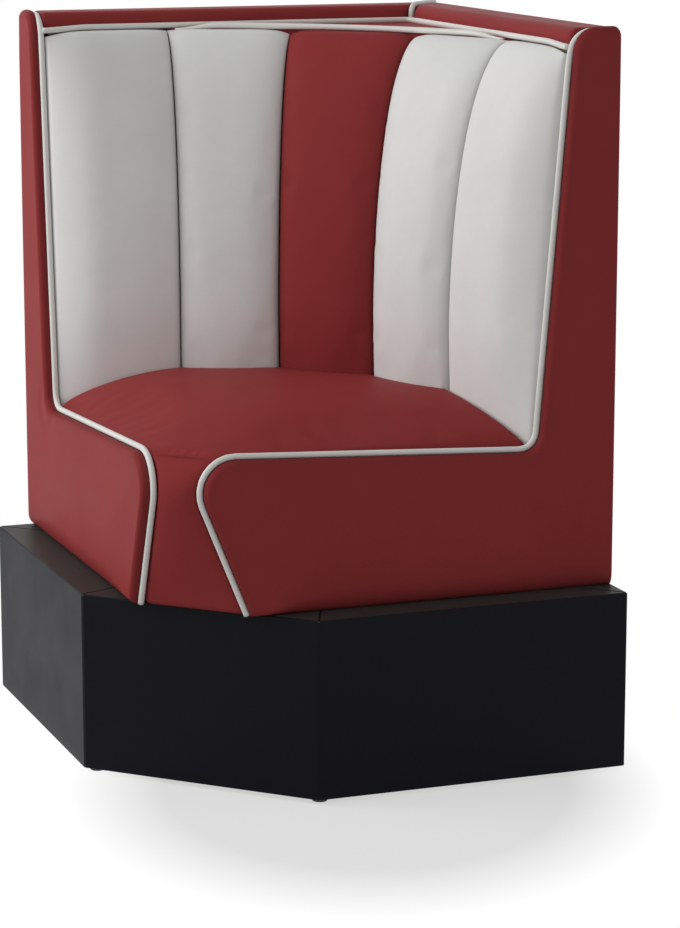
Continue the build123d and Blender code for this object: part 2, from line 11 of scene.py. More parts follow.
import bpy
import numpy as np
from bpy.props import FloatProperty, FloatVectorProperty, PointerProperty
from bpy.types import Operator, Panel, PropertyGroup
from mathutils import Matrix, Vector

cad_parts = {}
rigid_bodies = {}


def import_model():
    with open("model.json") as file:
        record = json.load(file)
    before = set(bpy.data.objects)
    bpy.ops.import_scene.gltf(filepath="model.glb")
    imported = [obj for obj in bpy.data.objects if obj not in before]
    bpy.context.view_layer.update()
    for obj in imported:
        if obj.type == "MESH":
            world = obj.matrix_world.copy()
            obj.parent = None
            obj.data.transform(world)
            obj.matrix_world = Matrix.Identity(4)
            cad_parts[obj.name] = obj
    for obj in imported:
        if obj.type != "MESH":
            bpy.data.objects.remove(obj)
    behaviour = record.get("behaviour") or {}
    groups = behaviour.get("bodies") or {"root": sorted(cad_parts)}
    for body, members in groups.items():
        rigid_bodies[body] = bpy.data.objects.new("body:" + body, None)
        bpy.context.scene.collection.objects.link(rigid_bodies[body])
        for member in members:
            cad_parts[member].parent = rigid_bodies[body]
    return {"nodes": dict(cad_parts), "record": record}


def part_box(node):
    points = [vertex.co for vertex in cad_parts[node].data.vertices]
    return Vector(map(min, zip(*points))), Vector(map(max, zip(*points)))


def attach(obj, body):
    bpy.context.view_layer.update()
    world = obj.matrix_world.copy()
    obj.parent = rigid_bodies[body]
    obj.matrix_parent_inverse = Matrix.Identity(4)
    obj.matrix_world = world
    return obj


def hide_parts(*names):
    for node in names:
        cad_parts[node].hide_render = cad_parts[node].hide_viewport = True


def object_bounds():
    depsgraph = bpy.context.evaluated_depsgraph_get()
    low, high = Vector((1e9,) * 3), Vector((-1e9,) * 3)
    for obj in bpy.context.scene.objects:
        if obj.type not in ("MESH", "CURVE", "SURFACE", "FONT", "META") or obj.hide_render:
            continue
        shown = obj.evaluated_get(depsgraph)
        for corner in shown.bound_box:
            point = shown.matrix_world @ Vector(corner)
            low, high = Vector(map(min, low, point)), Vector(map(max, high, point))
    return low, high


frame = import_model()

bl_info = {
    "name": "Corner booth seat",
    "version": (1, 0, 0),
    "blender": (4, 5, 0),
    "location": "View3D > Sidebar > Booth",
    "description": "Builds the covers, piping and plinth of a corner booth seat around its packed frame",
    "category": "Object",
}

ROOT = "booth"
cad_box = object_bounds()
half = cad_box[1].x
to_diagonal = sqrt(2)


# Sizes read from the frame


def depth_of(node):
    """How far a left-hand node stands out from its wall."""
    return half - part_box(node)[0].y


def reach_of(node):
    """How far a left-hand node reaches along its wall from the corner."""
    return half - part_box(node)[0].x


def top_of(node):
    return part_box(node)[1].z


def bottom_of(node):
    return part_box(node)[0].z


body_end = reach_of("end_pad_left")
frame_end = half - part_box("end_pad_left")[1].x
cushion_end = reach_of("seat_cushion")
piping_radius = (top_of("wall_piping") - bottom_of("wall_piping")) / 2
piping_plane = frame_end - piping_radius
piping_level = top_of("wall_piping") - piping_radius
body_top = top_of("wall_cap_left")
cap_bottom = bottom_of("wall_cap_left")
cap_depth = depth_of("wall_cap_left")
deck_top = bottom_of("seat_cushion")
channel_top = top_of("back_channel_1")
plinth_top = top_of("plinth_top_wrap")
plinth_bottom = bottom_of("plinth_side_wrap")
filler_bottom = bottom_of("corner_filler")
rail_front = depth_of("top_rail_left")
plinth_length = 2 * half
under_piping = piping_plane - cushion_end
small_gap = 0.0003


# What a user would change


def length(name, description, default):
    return FloatProperty(name=name, description=description, default=default, unit="LENGTH")


def paint(name, description, default):
    return FloatVectorProperty(name=name, description=description, default=default, subtype="COLOR")


class BoothShape(PropertyGroup):
    """Sizes of the covers, in metres. Those that the frame doesn't give repeat the part's own."""

    piping_proud: length("Piping proud", "How far piping stands out of its panel", 0.0022)
    upright_top_depth: length("Top depth", "Depth of the end panel at its top", 0.072)
    upright_seat_depth: length("Upright depth", "Depth of the upright at the seat", 0.119)
    seat_edge_height: length("Seat edge", "Height of the end outline behind the seat", 0.457)
    nose_depth: length("Nose depth", "Depth of the nose before rounding", 0.628)
    nose_height: length("Nose height", "Height of the nose before rounding", 0.481)
    foot_depth: length("Foot depth", "Depth of the front at the plinth", 0.537)
    back_radius: length("Back radius", "Rounding of the end outline at the wall", 0.011)
    front_radius: length("Front radius", "Rounding of the upright's top", 0.034)
    seat_radius: length("Seat radius", "Rounding where upright meets seat", 0.022)
    nose_radius: length("Nose radius", "Rounding of the nose", 0.050)
    crease_depth: length("Crease depth", "Depth of the crease before the nose", 0.575)
    channel_crown: length("Channel crown", "Swell of a back channel", 0.019)
    channel_top_crown: length("Channel top crown", "Swell of a channel at its top", 0.006)
    roll_start: length("Roll start", "Height where the back starts to roll over", 0.584)
    seat_crown: length("Seat crown", "Height of the seat's crown", 0.5195)
    pad_border: length("Pad border", "How far an end pad starts inside its piping", 0.0055)
    pad_edge: length("Pad edge", "Width of the soft edge of an end pad", 0.009)
    mitre_radius: length("Mitre radius", "Bend of the piping over the caps", 0.014)


class BoothColours(PropertyGroup):
    """Colours of the finishes."""

    red: paint("Red vinyl", "Seat, ends, caps and middle channel", (0.29, 0.040, 0.041))
    white: paint("White vinyl", "Four back channels", (0.80, 0.798, 0.785))
    piping: paint("Piping", "Piping along the edges", (0.80, 0.79, 0.75))
    black: paint("Black vinyl", "Wrap of the plinth", (0.004, 0.0044, 0.0075))


def shape():
    return bpy.context.scene.booth_shape


# Outlines in a plane


def unit(vectors):
    """Vectors brought to a length of one."""
    return vectors / np.linalg.norm(vectors, axis=-1, keepdims=True)


def on_circle(angles):
    """Points at these angles on a circle of radius one."""
    return np.stack([np.cos(angles), np.sin(angles)], -1)


def rounded(corners, radii, step=0.004):
    """An open line with rounded corners: straight runs, and an arc of the given radius tangent to both runs
    at each inner corner. Returns points no more than a step apart."""
    corners = [np.array(corner, float) for corner in corners]
    points = [corners[0][None]]
    for before, corner, after, radius in zip(corners, corners[1:], corners[2:], radii):
        back, on = unit(before - corner), unit(after - corner)
        half_angle = np.arccos(np.clip(back @ on, -1, 1)) / 2
        centre = corner + unit(back + on) * radius / sin(half_angle)
        start = corner + back * radius / np.tan(half_angle) - centre
        end = corner + on * radius / np.tan(half_angle) - centre
        first = np.arctan2(start[1], start[0])
        turn = (np.arctan2(end[1], end[0]) - first + pi) % (2 * pi) - pi
        points.append(centre + radius * on_circle(first + turn * np.linspace(0, 1, 9)))
    points.append(corners[-1][None])
    return resampled(np.concatenate(points), step)


def lengths_along(points):
    """Distance along a line of points, zero at its start."""
    steps = np.linalg.norm(np.diff(points, axis=0), axis=1)
    return np.concatenate([[0], np.cumsum(steps)])


def resampled(points, step=None, count=None):
    """The same line with even spacing: point at distance s is found between its neighbours in proportion."""
    along = lengths_along(points)
    count = count or max(2, int(round(along[-1] / step)) + 1)
    wanted = np.linspace(0, along[-1], count)
    return np.stack([np.interp(wanted, along, axis) for axis in points.T], 1)


def moved_in(points, distance):
    """An open outline moved to its right by a distance, its corners kept sharp."""
    points = [np.array(point, float) for point in points]
    lines = []
    for first, second in zip(points, points[1:]):
        along = unit(second - first)
        lines.append((first + to_the_right(along) * distance, along))
    result = [lines[0][0]]
    for (start, along), (other, direction) in zip(lines, lines[1:]):
        gap = other - start
        across = along[0] * direction[1] - along[1] * direction[0]
        result.append(start + along * (gap[0] * direction[1] - gap[1] * direction[0]) / across)
    result.append(lines[-1][0] + points[-1] - points[-2])
    return result


def end_outline(inset=0.0, start=0.0):
    """The end's front outline as depth and height, from the wall over the top and down to the plinth."""
    s = shape()
    corners = moved_in([
        (0, body_top),
        (s.upright_top_depth, body_top),
        (s.upright_seat_depth, s.seat_edge_height),
        (s.nose_depth, s.nose_height),
        (s.foot_depth, plinth_top),
    ], inset)
    corners[0][0] = start
    radii = [s.front_radius - inset, s.seat_radius + inset, s.nose_radius - inset]
    return rounded(corners, radii)


INSET_CHANGE = 0.07


def with_inset(along_top, further, start, hold):
    """The end outline moved in by one distance over the wall, held so far, and eased to another beyond."""
    near, far = (resampled(end_outline(inset, start), count=620) for inset in (along_top, further))
    amount = ease((lengths_along(near) - hold) / INSET_CHANGE)[:, None]
    return near * (1 - amount) + far * amount


def distance_to(points, line):
    """Each point's least distance to a line's runs: the foot of the perpendicular is held within a run."""
    flat = points.reshape(-1, 1, points.shape[-1])
    run = np.diff(line, axis=0)
    from_start = flat - line[:-1]
    share = np.clip((from_start * run).sum(-1) / (run * run).sum(-1), 0, 1)
    gaps = np.linalg.norm(from_start - share[..., None] * run, axis=-1)
    return gaps.min(1).reshape(points.shape[:-1])


def quarter(distance, width):
    """A soft edge: 0 at the edge and 1 from width inwards, rising as a quarter circle."""
    share = np.clip(distance / width, 0, 1)
    return np.sqrt(1 - (1 - share) ** 2)


def tucked(distance):
    """How far a cover lies below the middle of the piping that it passes under: a quarter circle."""
    around = piping_radius + small_gap
    return np.sqrt(np.maximum(around**2 - np.minimum(distance, around) ** 2, 0))


def ease(share):
    """0 to 1 with no slope at either end: 3t^2 - 2t^3."""
    share = np.clip(share, 0, 1)
    return share * share * (3 - 2 * share)


def crowded(count):
    """Shares from 0 to 1, crowded towards both ends: (1 - cos t) / 2."""
    return (1 - np.cos(np.linspace(0, pi, count))) / 2


# The seam value holds the cloth, and in the vinyl it paints shade along the seams.
def sewn(distance, spread=0.004):
    """The seam value: exp(-distance / spread), so 1 at a sewn edge and soon 0 away from it."""
    return np.exp(-distance / spread)


def to_the_right(along):
    """Plan directions turned a quarter to their right."""
    return np.stack([along[..., 1], -along[..., 0]], -1)


def raised(plan, height):
    """Plan points given their heights, or all of them one height."""
    return np.concatenate([plan, np.broadcast_to(height, plan.shape[:-1])[..., None]], -1)


# Meshes from grids


def quads(rows, columns, closed=False, start=0, flip=False):
    """Faces of a grid of points numbered row by row. A closed grid joins its last column to its first."""
    r = np.arange(rows - 1)[:, None]
    c = np.arange(columns if closed else columns - 1)[None]
    following = (c + 1) % columns
    row, below = r * columns, (r + 1) * columns
    faces = np.stack([row + c, row + following, below + following, below + c], -1).reshape(-1, 4) + start
    return faces[:, ::-1] if flip else faces


def border(rows, columns):
    """Numbers of a grid's outer points, in order round it."""
    top = np.arange(columns)
    right = np.arange(1, rows) * columns + columns - 1
    bottom = (rows - 1) * columns + np.arange(columns - 2, -1, -1)
    left = np.arange(rows - 2, 0, -1) * columns
    return np.concatenate([top, right, bottom, left])


def make_object(name, points, faces, seam=None):
    """A smooth mesh object at the origin. Points come from the corner's frame, and are moved to the unit's
    own. seam is a value at each point, 1 at a sewn edge and 0 away from it."""
    mesh = bpy.data.meshes.new(name)
    placed = points + np.array([half, half, 0])
    mesh.from_pydata(placed.tolist(), [], [list(map(int, face)) for face in faces])
    mesh.shade_smooth()
    if seam is not None:
        attribute = mesh.attributes.new("seam", "FLOAT", "POINT")
        attribute.data.foreach_set("value", np.asarray(seam, np.float32).ravel())
    mesh.update()
    piece = bpy.data.objects.new(name, mesh)
    bpy.context.scene.collection.objects.link(piece)
    return piece


def slab(name, front, back, seam=None, flip=False):
    """A closed piece between two grids of one size: front, back turned over, and a strip round the edges."""
    rows, columns = front.shape[:2]
    count = rows * columns
    ring = border(rows, columns)
    following = np.roll(ring, -1)
    strip = np.stack([following, ring, ring + count, following + count], -1)
    faces = np.concatenate([quads(rows, columns), quads(rows, columns, start=count, flip=True), strip])
    if flip:
        faces = faces[:, ::-1]
    points = np.concatenate([front.reshape(-1, 3), back.reshape(-1, 3)])
    if seam is not None:
        seam = np.concatenate([seam.ravel(), np.ones(count)])
    return make_object(name, points, faces, seam)


def rod(name, rings, seam=None, flip=False):
    """A closed piece from rings of points in a row, its two ends closed by a fan to their middles."""
    rows, columns = rings.shape[:2]
    count = rows * columns
    faces = quads(rows, columns, closed=True)
    points = np.concatenate([rings.reshape(-1, 3), rings[0].mean(0)[None], rings[-1].mean(0)[None]])
    c = np.arange(columns)
    following = (c + 1) % columns
    first = np.stack([following, c, np.full(columns, count)], -1)
    last = np.stack([count - columns + c, count - columns + following, np.full(columns, count + 1)], -1)
    faces = [face for group in (faces, first, last) for face in (group[:, ::-1] if flip else group)]
    if seam is not None:
        seam = np.concatenate([seam.ravel(), [1, 1]])
    return make_object(name, points, faces, seam)


def on_side(side, points):
    """Points of a left-hand piece as they are, or exchanged for their right-hand twins."""
    return points[..., [1, 0, 2]] if side == "right" else points


def in_end_plane(outline, along):
    """Depth and height pairs as points in the upright plane at this distance along the left back."""
    x = np.broadcast_to(-np.asarray(along, float), outline.shape[:-1])
    return np.stack([x, -outline[..., 0], outline[..., 1]], -1)


RIPPLE = 0.012


def tube_rings(path, radius, seed, sides=20):
    """Rings round a flat path: at each point a circle square to it, whose first direction stays in the path's
    plane. The radius ripples a little, as piping does where its cover is drawn round the cord."""
    tangent = unit(np.gradient(path, axis=0))
    side = unit(np.cross(tangent, plane_normal(path)))
    up = np.cross(side, tangent)
    angle = np.linspace(0, 2 * pi, sides, endpoint=False)
    along = lengths_along(path)
    ripples = np.sin(along * 310 + seed) * 0.5 + np.sin(along * 127 + 2 * seed) * 0.5
    size = radius * (1 + RIPPLE * ripples)
    ring = np.cos(angle)[None, :, None] * side[:, None] + np.sin(angle)[None, :, None] * up[:, None]
    return path[:, None] + ring * size[:, None, None]


def plane_normal(path):
    """The direction square to a flat path's plane: that of the least spread of its points."""
    spread = path - path.mean(0)
    return np.linalg.eigh(spread.T @ spread)[1][:, 0]


# Cloth


CLOTH_STEPS = 14
COVER_SLACK = 0.0015
FILLING_PRESSURE = 2.5
SEWN, NEARLY_SEWN = 0.5, 0.12


def cover_with_cloth(piece):
    """Give a piece the cloth modifier, with its sewn points held and those next to them held a little."""
    seam = np.empty(len(piece.data.vertices), np.float32)
    piece.data.attributes["seam"].data.foreach_get("value", seam)
    held = piece.vertex_groups.new(name="held")
    held.add(np.flatnonzero(seam > SEWN).tolist(), 1.0, "REPLACE")
    held.add(np.flatnonzero((seam > NEARLY_SEWN) & (seam <= SEWN)).tolist(), 0.3, "REPLACE")
    cloth = piece.modifiers.new("cloth", "CLOTH")
    settings = cloth.settings
    settings.quality = 5
    settings.mass = 0.25
    settings.tension_stiffness = settings.compression_stiffness = 25
    settings.bending_stiffness = 12
    settings.use_pressure = True
    settings.uniform_pressure_force = FILLING_PRESSURE
    settings.shrink_min = -COVER_SLACK
    settings.vertex_group_mass = "held"
    settings.effector_weights.gravity = 0
    cloth.collision_settings.use_collision = False
    cloth.point_cache.frame_end = CLOTH_STEPS


def keep_puff(piece, graph):
    """Make the cloth's shape the piece's own. A point that moved by d keeps m tanh(d / m) of it, where m is
    the most that it may move, and nothing of the cloth stays on the piece."""
    before = np.empty(len(piece.data.vertices) * 3)
    piece.data.vertices.foreach_get("co", before)
    after = np.empty_like(before)
    piece.evaluated_get(graph).data.vertices.foreach_get("co", after)
    moved = (after - before).reshape(-1, 3)
    far = np.linalg.norm(moved, axis=1, keepdims=True)
    moved *= piece["puff"] * np.tanh(far / piece["puff"]) / np.maximum(far, 1e-9)
    piece.modifiers.clear()
    piece.vertex_groups.clear()
    piece.data.vertices.foreach_set("co", before + moved.ravel())
    piece.data.update()


def run_cloth():
    """Fill the padded pieces: each cover, a little too large, is blown out as cloth and held at its seams."""
    pieces = [piece for piece in bpy.context.scene.objects if "puff" in piece]
    for piece in pieces:
        cover_with_cloth(piece)
    for step in range(1, CLOTH_STEPS + 1):
        bpy.context.scene.frame_set(step)
    graph = bpy.context.evaluated_depsgraph_get()
    for piece in pieces:
        keep_puff(piece, graph)
    bpy.context.scene.frame_set(1)
    for piece in pieces:
        del piece["puff"]


# Finishes


def feed(tree, node, inputs):
    """Give each input of a node its value, or link it where a socket is given."""
    for name, value in inputs.items():
        if isinstance(value, bpy.types.NodeSocket):
            tree.links.new(value, node.inputs[name])
        else:
            node.inputs[name].default_value = value


def add_node(tree, kind, inputs=None, **settings):
    """A shader node of a kind, with its settings and inputs."""
    node = tree.nodes.new("ShaderNode" + kind)
    for name, value in settings.items():
        setattr(node, name, value)
    feed(tree, node, inputs or {})
    return node


def emptied(block, output):
    """The node tree of a new material or world, with only an output, and the output's surface."""
    block.use_nodes = True
    block.node_tree.nodes.clear()
    return block.node_tree, add_node(block.node_tree, output).inputs["Surface"]


def new_finish(name):
    """A new material with its tree, its shader and the piece's own coordinates."""
    material = bpy.data.materials.new(name)
    tree, surface = emptied(material, "OutputMaterial")
    shader = add_node(tree, "BsdfPrincipled")
    tree.links.new(shader.outputs["BSDF"], surface)
    return material, tree, shader, add_node(tree, "TexCoord").outputs["Object"]


def noise(tree, place, scale, detail=3.0, roughness=0.5):
    inputs = {"Vector": place, "Scale": scale, "Detail": detail, "Roughness": roughness}
    return add_node(tree, "TexNoise", inputs).outputs["Fac"]


def wave(tree, place, direction, scale, distortion):
    inputs = {"Vector": place, "Scale": scale, "Distortion": distortion}
    return add_node(tree, "TexWave", inputs, bands_direction=direction).outputs["Fac"]


def mapped(tree, value, start, end, to_start=0.0, to_end=1.0):
    """A value carried from one range to another, held at its ends."""
    inputs = {"Value": value, "From Min": start, "From Max": end, "To Min": to_start, "To Max": to_end}
    return add_node(tree, "MapRange", inputs).outputs["Result"]


def blended(tree, amount, first, second):
    """Two colours mixed. Each is a socket or a colour."""
    first, second = (c if isinstance(c, bpy.types.NodeSocket) else (*c, 1) for c in (first, second))
    inputs = {"Factor": amount, "A": first, "B": second}
    return add_node(tree, "Mix", inputs, data_type="RGBA").outputs["Result"]


def maths(tree, first, second, operation="MULTIPLY"):
    return add_node(tree, "Math", {0: first, 1: second}, operation=operation).outputs[0]


def bumped(tree, shader, height, strength, distance, over=None):
    """Give a shader a bump, over an earlier one where there is one."""
    inputs = {"Height": height, "Strength": strength, "Distance": distance}
    if over is not None:
        inputs["Normal"] = over
    normal = add_node(tree, "Bump", inputs).outputs["Normal"]
    tree.links.new(normal, shader.inputs["Normal"])
    return normal


# Colour of dust and of painted top light on what faces up.
DUST_AND_TOP_LIGHT = (0.05, 0.048, 0.043)
RUBBED_VINYL = np.array([0.6, 0.5, 0.48])


def vinyl(name, colour, grain=420, grain_depth=0.16, rough=(0.4, 0.45), specular=0.018,
          seam_shade=0.6, wear=0.08, dust_and_top_light=0):
    """Upholstery vinyl: embossed pebble grain, a cloudy colour, painted shade towards its sewn edges, paler
    where rubbed, and with dust and a painted top light on what faces up."""
    material, tree, shader, place = new_finish(name)
    colour = np.array(colour[:3])
    cloud = mapped(tree, noise(tree, place, 7, 5, 0.6), 0.3, 0.7)
    fine = mapped(tree, noise(tree, place, 60, 4, 0.6), 0.35, 0.65)
    seam = add_node(tree, "Attribute", attribute_name="seam").outputs["Fac"]
    geometry = add_node(tree, "NewGeometry").outputs
    base = blended(tree, cloud, colour * 0.97, np.minimum(colour * 1.03, 1))
    base = blended(tree, maths(tree, fine, 0.15), base, colour * 0.9)
    # Painted shade along the seams: the colour is drawn towards a darker one by the seam value.
    base = blended(tree, maths(tree, seam, seam_shade), base, colour * 0.45)
    # Dust and painted top light: what faces up is drawn towards a paler grey, away from the seams.
    if dust_and_top_light:
        upward = add_node(tree, "SeparateXYZ", {"Vector": geometry["Normal"]}).outputs["Z"]
        away_from_seam = mapped(tree, seam, 0, 1, 1, 0)
        dust_and_top_light_share = maths(tree, mapped(tree, upward, 0.7, 1, 0, dust_and_top_light), away_from_seam)
        base = blended(tree, dust_and_top_light_share, base, DUST_AND_TOP_LIGHT)
    rubbed = mapped(tree, geometry["Pointiness"], 0.53, 0.6, 0, wear)
    base = blended(tree, maths(tree, rubbed, fine), base, colour * 0.6 + RUBBED_VINYL * 0.4)
    pebbles = add_node(tree, "TexVoronoi", {"Vector": place, "Scale": grain}, feature="DISTANCE_TO_EDGE")
    waviness = bumped(tree, shader, noise(tree, place, 26, 3, 0.55), 0.03, 0.002)
    bumped(tree, shader, mapped(tree, pebbles.outputs["Distance"], 0, 0.25), grain_depth, 0.0005, waviness)
    gloss = mapped(tree, noise(tree, place, 11, 4, 0.6), 0.35, 0.65, *rough)
    feed(tree, shader, {"Base Color": base, "Roughness": gloss, "Specular IOR Level": specular})
    return material


def wood(name, pale, dark, layers):
    """Timber or plywood: long grain in noise drawn out along X, over layers stacked upwards in plywood."""
    material, tree, shader, place = new_finish(name)
    drawn_out = add_node(tree, "Mapping", {"Vector": place, "Scale": (3, 40, 40)}).outputs["Vector"]
    grain = noise(tree, drawn_out, 4, 6, 0.65)
    if layers:
        plies = maths(tree, wave(tree, place, "Z", layers, 0.6), 0.3)
        grain = maths(tree, maths(tree, grain, 0.7), plies, "ADD")
    colour = blended(tree, mapped(tree, grain, 0.3, 0.7), pale, dark)
    feed(tree, shader, {"Base Color": colour, "Roughness": mapped(tree, grain, 0.3, 0.7, 0.55, 0.75)})
    bumped(tree, shader, grain, 0.2, 0.0006)
    return material


def zinc(name):
    """Zinc-plated steel: cloudy grey with a fine scratch in its gloss."""
    material, tree, shader, place = new_finish(name)
    cloud = noise(tree, place, 220, 4, 0.6)
    colour = blended(tree, cloud, (0.5, 0.5, 0.52), (0.66, 0.65, 0.62))
    gloss = mapped(tree, cloud, 0.3, 0.7, 0.28, 0.48)
    feed(tree, shader, {"Base Color": colour, "Roughness": gloss, "Metallic": 1})
    bumped(tree, shader, noise(tree, place, 900, 2), 0.1, 0.0002)
    return material


def moulded(name, colour):
    """Moulded plastic with a faint orange-peel and scuffs."""
    material, tree, shader, place = new_finish(name)
    scuff = noise(tree, place, 90, 5, 0.7)
    scuffed = tuple(c * 1.5 + 0.02 for c in colour)
    base = blended(tree, mapped(tree, scuff, 0.45, 0.7), colour, scuffed)
    feed(tree, shader, {"Base Color": base, "Roughness": mapped(tree, scuff, 0.3, 0.7, 0.22, 0.45)})
    bumped(tree, shader, noise(tree, place, 500, 2), 0.15, 0.0003)
    return material


def lining(name):
    """Black dust cloth over the back boards: a plain weave of fine threads, with lint."""
    material, tree, shader, place = new_finish(name)
    weave = maths(tree, wave(tree, place, "X", 190, 0.4), wave(tree, place, "Z", 190, 0.4))
    lint = mapped(tree, noise(tree, place, 35, 6, 0.7), 0.55, 0.75, 0, 0.5)
    threads = blended(tree, weave, (0.012, 0.012, 0.013), (0.035, 0.034, 0.036))
    base = blended(tree, lint, threads, (0.06, 0.058, 0.055))
    gloss = mapped(tree, weave, 0, 1, 0.95, 0.8)
    feed(tree, shader, {"Base Color": base, "Roughness": gloss, "Specular IOR Level": 0.2})
    bumped(tree, shader, weave, 0.4, 0.0004)
    return material


def finishes():
    """Every finish by its slot in the record, made once."""
    c = bpy.context.scene.booth_colours
    makers = {
        "red_upholstery": lambda name: vinyl(name, c.red),
        "white_upholstery": lambda name: vinyl(
            name, c.white, rough=(0.42, 0.5), specular=0.12, seam_shade=0.5, wear=0.03),
        "white_piping": lambda name: vinyl(name, c.piping, 900, 0.08, (0.34, 0.44), 0.3, 0.2, 0.02),
        "black_vinyl": lambda name: vinyl(name, c.black, 520, 0.25, (0.42, 0.47), 0.09, 0.5, 0.06, 0.8),
        "back_board_cover": lining,
        "plywood": lambda name: wood(name, (0.62, 0.46, 0.29), (0.4, 0.26, 0.14), 160),
        "timber": lambda name: wood(name, (0.66, 0.5, 0.32), (0.5, 0.34, 0.19), 0),
        "zinc_steel": zinc,
        "glide_plastic": lambda name: moulded(name, (0.06, 0.045, 0.07)),
    }
    made = bpy.data.materials
    return {slot: made.get(slot + "_finish") or make(slot + "_finish") for slot, make in makers.items()}


def dress(piece, slot, *nodes, fill=None, puff=None):
    """Finish a piece, tie it to the body and hide the frame nodes that it stands for. fill is not used.
    A piece that goes through the cloth run has the most that its points may move there."""
    piece.data.materials.append(finishes()[slot])
    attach(piece, ROOT)
    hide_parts(*nodes)
    if puff is not None:
        piece["puff"] = puff
    return piece


# The back


LOW_SEAMS = ((1, 0.120), (0.735, 0.268), (0.5335, 0.368))
TOP_SEAMS = ((1, 0.004), (0.715, 0.008), (0.452, 0.231))
LOW_THICKNESS, TOP_THICKNESS = 0.042, 0.0085
SEAM_DIPS = (0.009, 0.0025, 0.0055, 0.0055, 0.0025, 0.009)
DIP_WIDTHS = (0.026, 0.02, 0.02, 0.02, 0.02, 0.026)
DIP_START = 0.9
SEWN_GAP = 0.0004
SEAM_SINK = 0.007
MEETING_WIDTH = 0.075
TURNING_WIDTH = 0.06
LIP_HEIGHT, LIP_WIDTH, LIP_START = 0.008, 0.0035, 0.003
LEAST_THICKNESS = 0.004
BACK_DROP, BACK_DROP_START, BACK_DROP_RISE = 0.01, 0.97, 0.03
PRESSED_SHARE, FREE_SHARE, PRESSED_RISE = 0.55, 0.45, 0.16


def both_wings(left):
    """Plan points of the left seams and then the right ones, as X and Y from the corner."""
    left = [(-along, -depth) for along, depth in left]
    return np.array(left + [(y, x) for x, y in reversed(left)])


low_seams = both_wings([
    (cushion_end, LOW_SEAMS[0][1]),
    *((cushion_end * along, cushion_end * depth) for along, depth in LOW_SEAMS[1:]),
])
top_seams = both_wings([
    *((cushion_end * along, cap_depth + clearance) for along, clearance in TOP_SEAMS[:2]),
    (cushion_end * TOP_SEAMS[2][0], cushion_end * TOP_SEAMS[2][1]),
])


def roll(height):
    """How far the back has rolled towards its top line: 1 - sqrt(1 - t^2), t the share of the rise so far."""
    start = shape().roll_start
    share = np.clip((height - start) / (channel_top - start), 0, 1)
    return 1 - np.sqrt(1 - share * share)


def seam_at(i, height):
    """Plan place of a seam at each height."""
    amount = roll(height)[..., None]
    return low_seams[i] * (1 - amount) + top_seams[i] * amount


def channel_heights(rows):
    """Heights about evenly spaced along the front: even below the roll, then as the sines of even angles."""
    start = shape().roll_start
    plain = np.linspace(deck_top + 0.001, start, rows // 4, endpoint=False)
    turned = start + (channel_top - start) * np.sin(np.linspace(0, pi / 2, rows - rows // 4))
    return np.concatenate([plain, turned])


def channel_swell(place, width, height):
    """How far a face stands out: its crown times (1 - |2u-1|^2.8)^0.45, from a seam sunk behind the seam
    line. The crown is lower at the rolled top, and just above the seat, which presses it in."""
    s = shape()
    rolled = roll(height)[..., None]
    pressed = PRESSED_SHARE + FREE_SHARE * ease((height - s.seat_edge_height) / PRESSED_RISE)[..., None]
    crown = (s.channel_crown + (s.channel_top_crown - s.channel_crown) * rolled) * pressed
    sunk = SEAM_SINK * (1 - 0.6 * rolled)
    swell = (1 - np.abs(2 * place / width - 1).clip(0, 1) ** 2.8) ** 0.45
    return swell * (crown + sunk) - sunk


def end_meeting(height):
    """How far the end piping's face stands out from the first seam: the upright's line, less the cord."""
    s = shape()
    slope = (s.upright_seat_depth - s.upright_top_depth) / (body_top - s.seat_edge_height)
    depth = s.upright_seat_depth - slope * (height - s.seat_edge_height) - (piping_radius - s.piping_proud)
    return (depth + seam_at(0, height)[..., 1])[..., None]


def top_dip(i, distances, height):
    """How far a channel's top edge dips beside its two seams: exp(-(distance / width)^1.4) of each one's."""
    seams = zip(SEAM_DIPS[i:], DIP_WIDTHS[i:], distances)
    both = sum(dip * np.exp(-((distance / width) ** 1.4)) for dip, width, distance in seams)
    return both * ease((height - DIP_START) / (channel_top - DIP_START))


